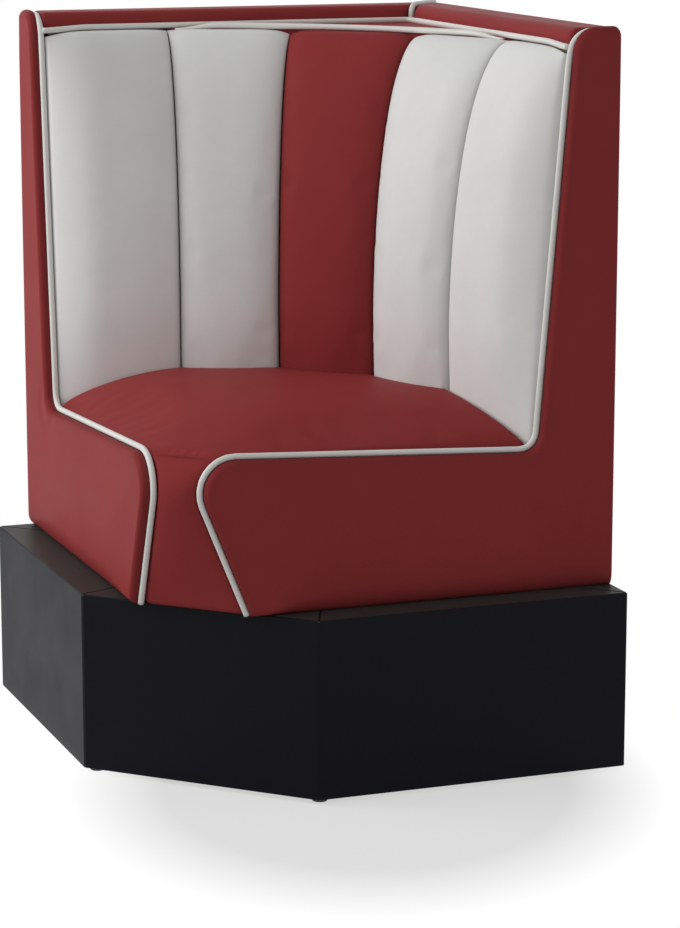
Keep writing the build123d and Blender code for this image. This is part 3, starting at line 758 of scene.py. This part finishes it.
def back_channel(i):
    """One padded channel. Its face swells between its seams, and at the end of a wing it comes out instead to
    a small lip at the end piping and passes under it. Up the back, the seam line rolls over in a quarter
    ellipse."""
    rows, columns = 96, 61
    height = channel_heights(rows)[:, None]
    u = crowded(columns)[None]
    a, b = seam_at(i, height), seam_at(i + 1, height)
    width = np.linalg.norm(b - a, axis=-1, keepdims=True)
    along = (b - a) / width
    out = to_the_right(along)
    last = len(low_seams) - 2
    first_gap, last_gap = (-under_piping if i == end else SEWN_GAP for end in (0, last))
    place = first_gap + (width - first_gap - last_gap) * u[..., None]
    face = channel_swell(place, width, height)
    from_seam = np.minimum(place, width - place)
    for end, distance, square in ((0, place, (0.0, -1.0)), (last, width - place, (-1.0, 0.0))):
        if i == end:
            inside = np.maximum(distance, 0)
            meeting = quarter(inside, MEETING_WIDTH)
            lip = end_meeting(height) - LIP_START + LIP_HEIGHT * quarter(inside, LIP_WIDTH)
            from_seam = np.minimum(distance + (face - lip) * meeting, width - distance)
            below_cord = tucked(np.maximum(distance + under_piping, 0)) * (distance < 0)
            face = lip * (1 - meeting) + face * meeting - below_cord
            out = np.array(square) + (out - np.array(square)) * ease(distance / TURNING_WIDTH)
    dip = top_dip(i, (u * width[..., 0], (1 - u) * width[..., 0]), height)
    front = raised(a + along * place + out * face, height - dip)
    share = (height - deck_top) / (channel_top - deck_top)
    thickness = (LOW_THICKNESS + (TOP_THICKNESS - LOW_THICKNESS) * share)[..., None]
    thickness = np.maximum(thickness, LEAST_THICKNESS - face)
    behind = a + along * place.clip(SEWN_GAP, width - SEWN_GAP) - out * thickness
    back = raised(behind, height - dip - BACK_DROP * ease((height - BACK_DROP_START) / BACK_DROP_RISE))
    seam = sewn(np.maximum(from_seam[..., 0], 0))
    colour = "red_upholstery" if i == last // 2 else "white_upholstery"
    piece = slab(f"channel_cushion_{i + 1}", front, back, seam)
    return dress(piece, colour, f"back_channel_{i + 1}", fill=0.85, puff=0.004)


# The seat


DOME_CENTRE = 0.495
DOME_FALL_AHEAD, DOME_FALL_BEHIND, DOME_FALL_ASIDE = 3.6, 8.0, 8.5
SIDE_ROLL_WIDTH, SIDE_ROLL_POWER = 0.17, 1.3
BACK_ROLL_DROP, BACK_ROLL_WIDTH = 0.012, 0.010
LIP_REACH, LIP_END = 0.0022, 0.006
CREASE_GAP = 0.002
CREASE_BEND_START = 0.2


def seat_back_line(count):
    """Plan of the seat's back edge, an arc against each channel."""
    s = shape()
    runs = []
    for a, b in zip(low_seams, low_seams[1:]):
        u = np.linspace(0, 1, 24, endpoint=False)[:, None]
        out = to_the_right(unit(b - a))
        runs.append(a + (b - a) * u + out * (s.channel_crown * 2.4 * u * (1 - u) + 0.0006))
    runs.append(low_seams[-1:])
    return resampled(np.concatenate(runs), count=count)


def on_diagonal(depth):
    """Distance from the corner, along the diagonal, of the end outline's point at this depth."""
    return (piping_plane + depth) / to_diagonal


def seat_edge_level(depth):
    """Height of the piping line beside the seat at a depth."""
    s = shape()
    share = (depth - s.upright_seat_depth) / (s.nose_depth - s.upright_seat_depth)
    return s.seat_edge_height + (s.nose_height - s.seat_edge_height) * np.clip(share, 0, 1)


def nose_bend(depth):
    """How far the end outline lies below its own straight line at a depth, from a little before the nose."""
    s = shape()
    outline = end_outline()
    outline = outline[np.argmin(np.abs(outline[:, 0] - s.upright_seat_depth - 0.1)):]
    outline = outline[:np.argmax(outline[:, 0])]
    bend = seat_edge_level(depth) - np.interp(depth, outline[:, 0], outline[:, 1])
    return np.where(depth > s.upright_seat_depth + CREASE_BEND_START, bend, 0)


def seat_cushion():
    """The seat: plan lines run from the back edge to the crease. The top is a shallow dome, flatter to the
    back than to the front, that rolls down at each edge: broad beside the piping, which it passes under, and
    tight elsewhere."""
    s = shape()
    across, deep = 181, 101
    back = seat_back_line(across)
    crease = on_diagonal(s.crease_depth) - small_gap
    reach = crease * to_diagonal - cushion_end
    front = np.linspace((-cushion_end, -reach), (-reach, -cushion_end), across)
    q = crowded(deep)[:, None, None]
    plan = back[None] * (1 - q) + front[None] * q
    x, y = plan[..., 0], plan[..., 1]
    left, right = x + cushion_end, y + cushion_end
    ahead = crease + (x + y) / to_diagonal
    behind = distance_to(plan, seat_back_line(400))
    forward = -(x + y) / to_diagonal - DOME_CENTRE
    sideways = (x - y) / to_diagonal
    fall = np.where(forward > 0, DOME_FALL_AHEAD, DOME_FALL_BEHIND)
    dome = s.seat_crown - forward**2 / fall - sideways**2 / DOME_FALL_ASIDE
    side = seat_edge_level(np.where(left < right, -y, -x)) - (piping_radius - s.piping_proud)
    side_roll = (quarter(left, SIDE_ROLL_WIDTH) * quarter(right, SIDE_ROLL_WIDTH)) ** SIDE_ROLL_POWER
    top = side + (dome - side) * side_roll - nose_bend(-(x + y) - piping_plane)
    top = top - BACK_ROLL_DROP * (1 - quarter(behind, BACK_ROLL_WIDTH))
    sides = np.stack([left, right], -1)
    lips = np.exp(-((sides / LIP_REACH) ** 2)) * (sides < LIP_END)
    upper = raised(plan - under_piping * lips, top - piping_radius * lips.max(-1))
    lower = raised(np.maximum(plan - under_piping * lips, -cushion_end), deck_top + 0.0002)
    nearest = np.minimum(np.minimum(left, right), np.minimum(behind, ahead * 2 + CREASE_GAP))
    piece = slab("seat_pad", upper, lower, sewn(nearest), flip=True)
    return dress(piece, "red_upholstery", "seat_cushion", fill=0.9, puff=0.004)


def nose_profile():
    """The front outline from crease to plinth, as distance along the diagonal and height."""
    s = shape()
    outline = end_outline()
    first = np.argmax(outline[:, 0] > s.crease_depth)
    before = outline[first - 1:first + 1]
    start = (s.crease_depth, np.interp(s.crease_depth, before[:, 0], before[:, 1]))
    profile = resampled(np.concatenate([[start], outline[first:]]), count=80)
    return np.stack([on_diagonal(profile[:, 0]), profile[:, 1]], 1)


def astride(distance, offset, height):
    """Points at a distance along the diagonal, an offset square to it and a height."""
    x, y = (-distance - offset) / to_diagonal, (-distance + offset) / to_diagonal
    return np.stack([x, y, height], -1)


SIDE_SOFTNESS = 0.016
FRONT_CROWN, CROWN_FROM_CREASE, CROWN_FROM_PLINTH = 0.006, 0.06, 0.1
FOOT_ROLL, FOOT_ROLL_WIDTH = 0.004, 0.012
FRONT_THICKNESS, FRONT_TAPER, FRONT_TAPER_RISE = 0.022, 0.012, 0.2


def front_pad():
    """The narrow pad under the nose: the end outline carried across between the two end pipings, which it
    passes under at its sides, a little crowned between them and rolled in at the plinth."""
    s = shape()
    profile = nose_profile()
    inward = to_the_right(unit(np.gradient(profile, axis=0)))[:, None]
    t = np.sin(np.linspace(-pi / 2, pi / 2, 81))[None]
    half_width = cushion_end * to_diagonal - profile[:, :1]
    under = under_piping * to_diagonal
    edge = (half_width + under) * (1 - np.abs(t))
    below_cord = np.sqrt(np.maximum(1 - (1 - np.maximum(under - edge, 0) / under) ** 2, 0)) * piping_radius
    down = lengths_along(profile)[:, None]
    to_plinth = down[-1] - down
    sink = (piping_radius - s.piping_proud) * (1 - quarter(np.maximum(edge - under, 0), SIDE_SOFTNESS))
    crown = FRONT_CROWN * (1 - t * t) * ease(down / CROWN_FROM_CREASE) * ease(to_plinth / CROWN_FROM_PLINTH)
    depth = sink + below_cord + small_gap - crown + FOOT_ROLL * (1 - quarter(to_plinth, FOOT_ROLL_WIDTH))
    face = profile[:, None] + inward * depth[..., None]
    offset = (half_width + under) * t
    front = astride(face[..., 0], offset, face[..., 1])
    taper = FRONT_TAPER * ease((profile[:, 1:] - plinth_top) / FRONT_TAPER_RISE)
    inner = profile[:, :1] - FRONT_THICKNESS - taper + 0 * t
    inner_height = np.minimum(profile[:, 1:], deck_top - small_gap) + 0 * t
    back = astride(inner, np.clip(offset, -half_width, half_width), inner_height)
    seam = sewn(np.minimum(edge, down * 2 + CREASE_GAP), 0.005)
    piece = slab("front_cushion", front, back, seam)
    return dress(piece, "red_upholstery", "front_pad", fill=0.8, puff=0.002)


# The padded ends


PAD_OVER_TOP = 0.0018
PAD_HOLD = 0.015
WALL_ROLL = 0.008
NARROW_FOOT, FOOT_WIDENING, FOOT_REACH, FOOT_CORNER = 0.010, 0.024, 0.16, 0.05
BROAD_CROWN, EDGE_CROWN = 0.2, 0.1
PUCKER_DEPTH, PUCKER_PLACE, PUCKER_WIDTH = 0.0009, 0.03, 0.012


def arc_up_to(start, radius, first, last):
    """Points on the quarter circle that ends level at a start point, between two angles."""
    return on_circle(np.linspace(first, last, 6)) * radius + start - (0, radius)


def end_pad_lines():
    """The two edges that an end pad is drawn between: the inner one along its piping and the outer one down
    the wall and along the plinth. They part halfway round the top's back corner."""
    s = shape()
    outline = with_inset(-PAD_OVER_TOP, s.pad_border, s.back_radius, PAD_HOLD)
    turn = np.argmin(np.linalg.norm(outline - (s.upright_seat_depth, s.seat_edge_height), axis=1))
    over_top = arc_up_to(outline[0], s.back_radius, 3 * pi / 4, pi / 2)[:-1]
    upright = resampled(np.concatenate([over_top, outline[:turn + 1]]), count=140)
    inner = np.concatenate([upright[:-1], resampled(outline[turn:], count=160)])
    foot = plinth_top + small_gap
    to_wall = arc_up_to(outline[0], s.back_radius, 3 * pi / 4, pi)
    start = to_wall[-1]
    down = np.linspace(start, (start[0], foot), 60)[1:]
    wall = resampled(np.concatenate([to_wall, down]), count=140)
    wall[:, 0] -= start[0] * ease((outline[0, 1] - wall[:, 1]) / 0.012)
    outer = np.concatenate([wall[:-1], np.linspace(wall[-1], (outline[-1, 0], foot), 160)])
    return inner, outer, wall


def end_pad(side):
    """A padded end panel. Lines cross from the front outline to the wall and plinth edges, and the face
    stands off the board by a quarter circle of the distance to each edge: tight at the wall, soft by the
    piping, softest at the foot, where the roll narrows towards the corner of the plinth."""
    s = shape()
    inner, outer, wall = end_pad_lines()
    t = crowded(71)[:, None, None]
    plan = inner[None] * (1 - t) + outer[None] * t
    depth, height = plan[..., 0], plan[..., 1]
    to_front = distance_to(plan, inner)
    to_wall = distance_to(plan, wall)
    foot_roll = NARROW_FOOT + FOOT_WIDENING * ease((inner[-1, 0] - depth) / FOOT_REACH)
    foot_roll = foot_roll * (0.5 + 0.5 * ease(to_wall / FOOT_CORNER))
    from_foot = quarter(height - plinth_top - small_gap, foot_roll)
    swell = quarter(to_front, s.pad_edge) * quarter(to_wall, WALL_ROLL) * from_foot
    crown = ease(to_front / BROAD_CROWN) * ease(to_wall / BROAD_CROWN) + 0.5 * ease(to_front / EDGE_CROWN)
    thickness = (body_end - frame_end) * (0.95 + 0.16 * crown)
    from_corner = np.linalg.norm(plan - (s.upright_seat_depth, s.seat_edge_height), axis=-1)
    puckered = np.exp(-((from_corner - PUCKER_PLACE) / PUCKER_WIDTH) ** 2)
    pucker = PUCKER_DEPTH * puckered * ease(to_front / 0.01)
    face = on_side(side, in_end_plane(plan, frame_end + thickness * swell - pucker))
    board = on_side(side, in_end_plane(plan, frame_end))
    piece = slab(f"end_cushion_{side}", face, board, sewn(to_front), flip=side == "left")
    return dress(piece, "red_upholstery", f"end_pad_{side}", fill=0.8, puff=0.0025)


# Caps and filler on top of the walls


CAP_FRONT_RADIUS = 0.017
CAP_PRESS, CAP_PRESS_WIDTH = 0.0025, 0.012
MITRE_GAP = 0.0045
FILLER_ROLL, FILLER_ROLL_WIDTH = 0.005, 0.012
# Spread of the painted shade at the caps' ends and along the filler's front edge.
SLACK_SEAM = 0.006


def wall_cap(side):
    """A rolled cap: a section rounded at front and back, run from the end piping to the mitre, and pressed in
    a little at both."""
    s = shape()
    corners = [(0.0, cap_bottom), (0.0, body_top), (cap_depth, body_top), (cap_depth, cap_bottom)]
    section = rounded(corners, [s.back_radius, CAP_FRONT_RADIUS], 0.003)
    section = np.concatenate([section, np.linspace(section[-1], section[0], 12)[1:-1]])
    mitre = np.maximum(section[:, 0], 0) + MITRE_GAP * to_diagonal
    along = cushion_end + (mitre[None] - cushion_end) * np.linspace(0, 1, 121)[:, None]
    from_end = np.minimum(cushion_end - along, along - mitre[None])
    press = CAP_PRESS * (1 - quarter(from_end, CAP_PRESS_WIDTH))
    depth = section[None, :, 0] + press * np.where(section[None, :, 0] < cap_depth / 2, 1, -1)
    height = section[None, :, 1] - press * (section[None, :, 1] > cap_bottom + 0.003)
    rings = on_side(side, np.stack([-along, -depth, height], -1))
    piece = rod(f"cap_{side}", rings, sewn(from_end, SLACK_SEAM), flip=side == "left")
    return dress(piece, "red_upholstery", f"wall_cap_{side}", fill=0.8)


def corner_filler():
    """The covered panel behind the curved back, soft along its front edge under the back piping."""
    behind_seam = top_seams[1:2] + (0, TOP_THICKNESS + 2 * small_gap)
    line = np.concatenate([behind_seam, back_piping_line() + 0.001, behind_seam[:, ::-1]])
    front = resampled(line, count=81)
    corner = (-rail_front, -rail_front)
    back = np.concatenate([
        np.linspace((front[0, 0], -rail_front), corner, 41)[:-1],
        np.linspace(corner, (-rail_front, front[-1, 1]), 41),
    ])
    q = crowded(25)[:, None, None]
    plan = front[None] * (1 - q) + back[None] * q
    to_front = distance_to(plan, resampled(front, count=400))
    upper = raised(plan, channel_top + 0.001 - FILLER_ROLL * (1 - quarter(to_front, FILLER_ROLL_WIDTH)))
    piece = slab("filler_panel", upper, raised(plan, filler_bottom), sewn(to_front, SLACK_SEAM))
    return dress(piece, "red_upholstery", "corner_filler", fill=0.5)


# Piping


PANEL_SINK, PANEL_HOLD = 0.0022, 0.04
WALL_PIPING_DROP, WALL_PIPING_EASE = 0.0035, 0.07
BACK_PIPING_DROP, BACK_PIPING_EASE = 0.0055, 0.06
THIN_END = 0.45


def piped(name, path, seed, node, thinned=1):
    """A length of piping along a path, dressed as the frame's own."""
    rings = tube_rings(path, piping_radius * thinned, seed=seed)
    return dress(rod(name, rings), "white_piping", node)


def end_piping(side):
    """Piping round an end panel's front outline, sunk so that it stands a little proud."""
    s = shape()
    sink = piping_radius - s.piping_proud
    line = resampled(with_inset(sink + PANEL_SINK, sink, s.back_radius, PANEL_HOLD), step=0.004)
    path = on_side(side, in_end_plane(line, piping_plane))
    return piped(f"end_welt_{side}", path, 1, f"end_piping_{side}")


def wall_piping():
    """Piping under the front of both caps, bent tightly at the corner and drawn down a little at its ends."""
    depth = cap_depth + piping_radius + small_gap
    end = cushion_end + 0.003
    line = rounded([(-end, -depth), (-depth, -depth), (-depth, -end)], [2 * piping_radius])
    to_end = np.minimum(lengths_along(line), lengths_along(line)[-1] - lengths_along(line))
    path = raised(line, piping_level - WALL_PIPING_DROP * (1 - ease(to_end / WALL_PIPING_EASE)))
    return piped("wall_welt", path, 2, "wall_piping")


def mitre_piping():
    """Piping over the join of the two caps, in the diagonal plane."""
    s = shape()
    front = cap_depth * to_diagonal
    corners = [(front, piping_level + 0.002), (front, body_top), (s.back_radius, body_top)]
    line = rounded(corners, [s.mitre_radius], 0.003)
    path = astride(line[:, 0], 0, line[:, 1])
    return piped("mitre_welt", path, 3, "mitre_piping")


def back_piping_line():
    """Plan of the piping on the curved back: a parabola from the line of one wall's piping to the other's."""
    share = (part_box("back_piping")[0].x - half - top_seams[1][0]) / (top_seams[2][0] - top_seams[1][0])
    start = top_seams[1] + (top_seams[2] - top_seams[1]) * share
    middle = (top_seams[2] + top_seams[3]) / 2
    u = np.linspace(-1, 1, 90)[:, None]
    end = start[::-1]
    return middle + (end - start) / 2 * u + ((start + end) / 2 - middle) * u * u


def back_piping():
    """Piping along the top of the curved back, thinner and lower where it slips under the wall piping."""
    line = back_piping_line()
    to_end = (1 - np.abs(np.linspace(-1, 1, len(line)))) * np.linalg.norm(line[-1] - line[0]) / 2
    free = ease(to_end / BACK_PIPING_EASE)
    path = raised(line, piping_level - BACK_PIPING_DROP * (1 - free))
    return piped("back_welt", path, 4, "back_piping", THIN_END + (1 - THIN_END) * free)


# The plinth


PLINTH_END = 0.455
SKIN = 0.0011
TOP_EDGE = 0.0025
CORNER_PULL, CORNER_REACH = 0.001, 0.0035
GROOVE_DEPTH, GROOVE_WIDTH = 0.0009, 0.0011
EDGE_STEPS = 5
SIDE_STEPS = 16
TOP_MARGINS = (0.004, 0.006, 0.009, 0.014, 0.02, 0.03, 0.042, 0.055, 0.07, 0.1, 0.16)


def plinth_corners(margin=0.0):
    """Plan of the plinth moved in by a margin, as its five corners."""
    reach = plinth_length - margin
    end = PLINTH_END - margin * (to_diagonal - 1)
    return -np.array([(reach, margin), (reach, end), (end, reach), (margin, reach), (margin, margin)])


def plinth_outline(margin):
    """A closed loop of points round the plinth, crowded towards its corners, which are drawn in a little."""
    corners = plinth_corners(margin)
    share = crowded(121)[:-1, None]
    points = np.concatenate([a + (b - a) * share for a, b in zip(corners, np.roll(corners, -1, axis=0))])
    offset = points[:, None] - corners[None]
    near = np.clip(1 - np.linalg.norm(offset, axis=-1, keepdims=True) / CORNER_REACH, 0, 1)
    inwards = unit(corners.mean(0) - corners)
    return points + (CORNER_PULL * near**2 * inwards[None]).sum(1)


def mitre_gap(points, corners):
    """Distance of each point from the nearest line that halves a corner's angle."""
    least = np.full(len(points), 1.0)
    for i, corner in enumerate(corners):
        before, after = corners[i - 1] - corner, corners[(i + 1) % len(corners)] - corner
        inwards = unit(unit(before) + unit(after))
        offset = points - corner
        across = np.abs(offset[:, 0] * inwards[1] - offset[:, 1] * inwards[0])
        near = (offset @ inwards > -0.01) & (np.linalg.norm(offset, axis=1) < 0.2)
        least = np.where(near, np.minimum(least, across), least)
    return least


def plinth_levels():
    """Margin and height of each loop round the wrap, those of its inner face and those of its outer one."""
    side_bottom, side_top = plinth_bottom + 0.001, plinth_top - TOP_EDGE
    inner = [(margin, plinth_top - SKIN) for margin in TOP_MARGINS[::-1]]
    inner += [(SKIN, plinth_top - SKIN), (SKIN, plinth_bottom + 0.0002), (0.0004, plinth_bottom)]
    outer = [(0, side_bottom + (side_top - side_bottom) * k / SIDE_STEPS) for k in range(SIDE_STEPS + 1)]
    turned = [radians(90) * k / EDGE_STEPS for k in range(1, EDGE_STEPS + 1)]
    outer += [(TOP_EDGE * (1 - cos(angle)), side_top + TOP_EDGE * sin(angle)) for angle in turned]
    return inner, outer + [(margin, plinth_top) for margin in TOP_MARGINS]


def plinth_cover():
    """The wrap, as one thin skin: inside from the middle of the top outwards and down, round the turned-in
    foot, then outside up, over a soft edge and inwards again, with a seam pressed in from each corner of the
    top."""
    corners = plinth_corners()
    inner, outer = plinth_levels()
    rows, seams = [], []
    for k, (margin, level) in enumerate(inner + outer):
        outline = plinth_outline(margin)
        outside = k >= len(inner)
        pressed = ease((level - plinth_top + TOP_EDGE) / TOP_EDGE) * outside
        groove = np.exp(-((mitre_gap(outline, corners) / GROOVE_WIDTH) ** 2)) * pressed
        rows.append(raised(outline, level - GROOVE_DEPTH * groove))
        # The seam value paints shade along the mitre grooves and along the top edge.
        arris = np.exp(-((margin - 0.001) / 0.0012) ** 2) * outside * (level > plinth_top - TOP_EDGE)
        seams.append(np.maximum(groove, arris))
    piece = rod("plinth_cover", np.stack(rows), np.stack(seams))
    return dress(piece, "black_vinyl", "plinth_side_wrap", "plinth_top_wrap")


# Stage


SHADE_CENTRE = (0, -0.27, 0)
SHADE_TURN = radians(-109)
SHADE_STRETCH = (1.35, 1, 1)
SHADE_START, SHADE_END = 0.28, 0.41
BOUNCING_GREY = (0.6, 0.6, 0.6, 1)
SHADED_GREY = (0.25, 0.25, 0.25, 1)
SHADED_GLOW = 0.58
STUDIO_DIM = 0.43
FLOOR_REACH = 8.0
WHITE = (1, 1, 1, 1)

LAMPS = {
    "key_light": {"place": (-3.2, 1.2, 2.1), "target": (0, 0, 0.55), "side": 1.9, "watts": 73},
    "fill_light": {"place": (-1.6, -3.6, 2.6), "target": (0, 0, 0.5), "side": 2.5, "watts": 10},
}

CAMERA_PLACE = (-1.4816, -4.1248, 1.2987)
CAMERA_AZIMUTH, CAMERA_PITCH = radians(20.53), radians(11.66)
CAMERA_LENS = 120.72


def seen_directly(tree):
    """1 for what the camera sees, straight or through gloss or glass, and 0 for light bounced on."""
    rays = add_node(tree, "LightPath").outputs
    seen = maths(tree, rays["Is Camera Ray"], rays["Is Transmission Ray"], "MAXIMUM")
    return maths(tree, seen, rays["Is Glossy Ray"], "MAXIMUM")


def chosen(tree, amount, first, second):
    """One shader carried over to another by an amount."""
    inputs = {0: amount, 1: first.outputs[0], 2: second.outputs[0]}
    return add_node(tree, "MixShader", inputs)


def stage_material(name):
    """A floor that is white where it is seen, with a soft oval shade about the object, and grey to bounced
    light. The shade's share is the distance from its centre in a turned and stretched plan, mapped from its
    start to its end."""
    material = bpy.data.materials.new(name)
    tree, surface = emptied(material, "OutputMaterial")
    plain = add_node(tree, "BsdfDiffuse", {"Color": BOUNCING_GREY})
    lit = add_node(tree, "BsdfDiffuse", {"Color": SHADED_GREY})
    glow = add_node(tree, "Emission", {"Strength": SHADED_GLOW})
    shaded = add_node(tree, "AddShader", {0: lit.outputs[0], 1: glow.outputs[0]})
    oval = {
        "Vector": add_node(tree, "TexCoord").outputs["Object"],
        "Location": SHADE_CENTRE,
        "Rotation": (0, 0, SHADE_TURN),
        "Scale": SHADE_STRETCH,
    }
    place = add_node(tree, "Mapping", oval, vector_type="TEXTURE").outputs["Vector"]
    distance = add_node(tree, "VectorMath", {0: place}, operation="LENGTH").outputs["Value"]
    away = mapped(tree, distance, SHADE_START, SHADE_END)
    shown = chosen(tree, away, shaded, add_node(tree, "Emission"))
    tree.links.new(chosen(tree, seen_directly(tree), plain, shown).outputs[0], surface)
    return material


def make_world():
    """White where it is seen, directly or in gloss, and a dim even light elsewhere."""
    world = bpy.data.worlds.new("studio")
    bpy.context.scene.world = world
    tree, surface = emptied(world, "OutputWorld")
    dim = add_node(tree, "Background", {"Color": WHITE, "Strength": STUDIO_DIM})
    white = add_node(tree, "Background", {"Color": WHITE})
    tree.links.new(chosen(tree, seen_directly(tree), dim, white).outputs[0], surface)


def add_light(name, place, target, side, watts):
    """A square lamp turned towards its target."""
    light = bpy.data.lights.new(name, "AREA")
    light.shape = "RECTANGLE"
    light.size = light.size_y = side
    light.energy = watts
    lamp = bpy.data.objects.new(name, light)
    bpy.context.scene.collection.objects.link(lamp)
    lamp.location = place
    lamp.rotation_euler = (Vector(target) - Vector(place)).to_track_quat("-Z", "Y").to_euler()


def make_camera():
    """The photograph's view: the camera stands left of the diagonal and looks down a little."""
    camera = bpy.data.cameras.new("camera")
    camera.sensor_width = 36
    camera.lens = CAMERA_LENS
    view = bpy.data.objects.new("camera", camera)
    bpy.context.scene.collection.objects.link(view)
    view.location = CAMERA_PLACE
    level = cos(CAMERA_PITCH)
    ahead = Vector((sin(CAMERA_AZIMUTH) * level, cos(CAMERA_AZIMUTH) * level, -sin(CAMERA_PITCH)))
    view.rotation_euler = ahead.to_track_quat("-Z", "Y").to_euler()
    bpy.context.scene.camera = view


def make_stage():
    make_camera()
    make_world()
    points = FLOOR_REACH * np.array([(-1, -1, 0), (1, -1, 0), (1, 1, 0), (-1, 1, 0)])
    floor = make_object("floor", points, [(0, 1, 2, 3)])
    floor.data.materials.append(stage_material("floor_paint"))
    for name, lamp in LAMPS.items():
        add_light(name, **lamp)
    bpy.context.scene.view_settings.view_transform = "Standard"


# Finishes of the frame's own nodes


def dress_nodes():
    """Give each frame node that shows the finish of its slot."""
    slots = {row["node"]: row["material_slot"] for row in frame["record"]["subparts"]}
    finish = finishes()
    for name, node in frame["nodes"].items():
        node.data.materials.clear()
        node.data.materials.append(finish[slots[name]])


# Operators


class BOOTH_OT_stage(Operator):
    """Camera, lights, floor and background"""

    bl_idname = "booth.stage"
    bl_label = "Stage"

    def execute(self, context):
        make_stage()
        return {"FINISHED"}


class BOOTH_OT_frame(Operator):
    """Finishes for the nodes of the frame"""

    bl_idname = "booth.frame"
    bl_label = "Frame finishes"

    def execute(self, context):
        dress_nodes()
        return {"FINISHED"}


class BOOTH_OT_seat(Operator):
    """The crowned seat and the narrow pad under its nose"""

    bl_idname = "booth.seat"
    bl_label = "Seat"

    def execute(self, context):
        seat_cushion()
        front_pad()
        return {"FINISHED"}


class BOOTH_OT_back(Operator):
    """The five padded channels of the back"""

    bl_idname = "booth.back"
    bl_label = "Back channels"

    def execute(self, context):
        for i in range(len(low_seams) - 1):
            back_channel(i)
        return {"FINISHED"}


class BOOTH_OT_ends(Operator):
    """The two padded end panels"""

    bl_idname = "booth.ends"
    bl_label = "Padded ends"

    def execute(self, context):
        end_pad("left")
        end_pad("right")
        return {"FINISHED"}


class BOOTH_OT_caps(Operator):
    """The caps on the walls and the panel between them and the curved back"""

    bl_idname = "booth.caps"
    bl_label = "Caps"

    def execute(self, context):
        wall_cap("left")
        wall_cap("right")
        corner_filler()
        return {"FINISHED"}


class BOOTH_OT_piping(Operator):
    """All the white piping"""

    bl_idname = "booth.piping"
    bl_label = "Piping"

    def execute(self, context):
        end_piping("left")
        end_piping("right")
        wall_piping()
        mitre_piping()
        back_piping()
        return {"FINISHED"}


class BOOTH_OT_cloth(Operator):
    """The cloth run that fills the padded pieces"""

    bl_idname = "booth.cloth"
    bl_label = "Fill the padding"

    def execute(self, context):
        run_cloth()
        return {"FINISHED"}


class BOOTH_OT_plinth(Operator):
    """The black wrap of the plinth"""

    bl_idname = "booth.plinth"
    bl_label = "Plinth"

    def execute(self, context):
        plinth_cover()
        return {"FINISHED"}


OPERATORS = (
    BOOTH_OT_stage,
    BOOTH_OT_frame,
    BOOTH_OT_plinth,
    BOOTH_OT_ends,
    BOOTH_OT_back,
    BOOTH_OT_seat,
    BOOTH_OT_caps,
    BOOTH_OT_piping,
    BOOTH_OT_cloth,
)


class BOOTH_PT_panel(Panel):
    """Booth tools in the 3D view's sidebar"""

    bl_label = "Booth"
    bl_space_type = "VIEW_3D"
    bl_region_type = "UI"
    bl_category = "Booth"

    def draw(self, context):
        for operator in OPERATORS:
            self.layout.operator(operator.bl_idname)
        for group in (context.scene.booth_shape, context.scene.booth_colours):
            for name in group.bl_rna.properties.keys():
                if name not in ("rna_type", "name"):
                    self.layout.prop(group, name)


def register():
    for item in (BoothShape, BoothColours, *OPERATORS, BOOTH_PT_panel):
        bpy.utils.register_class(item)
    bpy.types.Scene.booth_shape = PointerProperty(type=BoothShape)
    bpy.types.Scene.booth_colours = PointerProperty(type=BoothColours)


def unregister():
    del bpy.types.Scene.booth_colours
    del bpy.types.Scene.booth_shape
    for item in reversed((BoothShape, BoothColours, *OPERATORS, BOOTH_PT_panel)):
        bpy.utils.unregister_class(item)


def main():
    register()
    bpy.ops.booth.stage()
    bpy.ops.booth.frame()
    bpy.ops.booth.plinth()
    bpy.ops.booth.ends()
    bpy.ops.booth.back()
    bpy.ops.booth.seat()
    bpy.ops.booth.caps()
    bpy.ops.booth.piping()
    bpy.ops.booth.cloth()


if __name__ == "__main__":
    main()
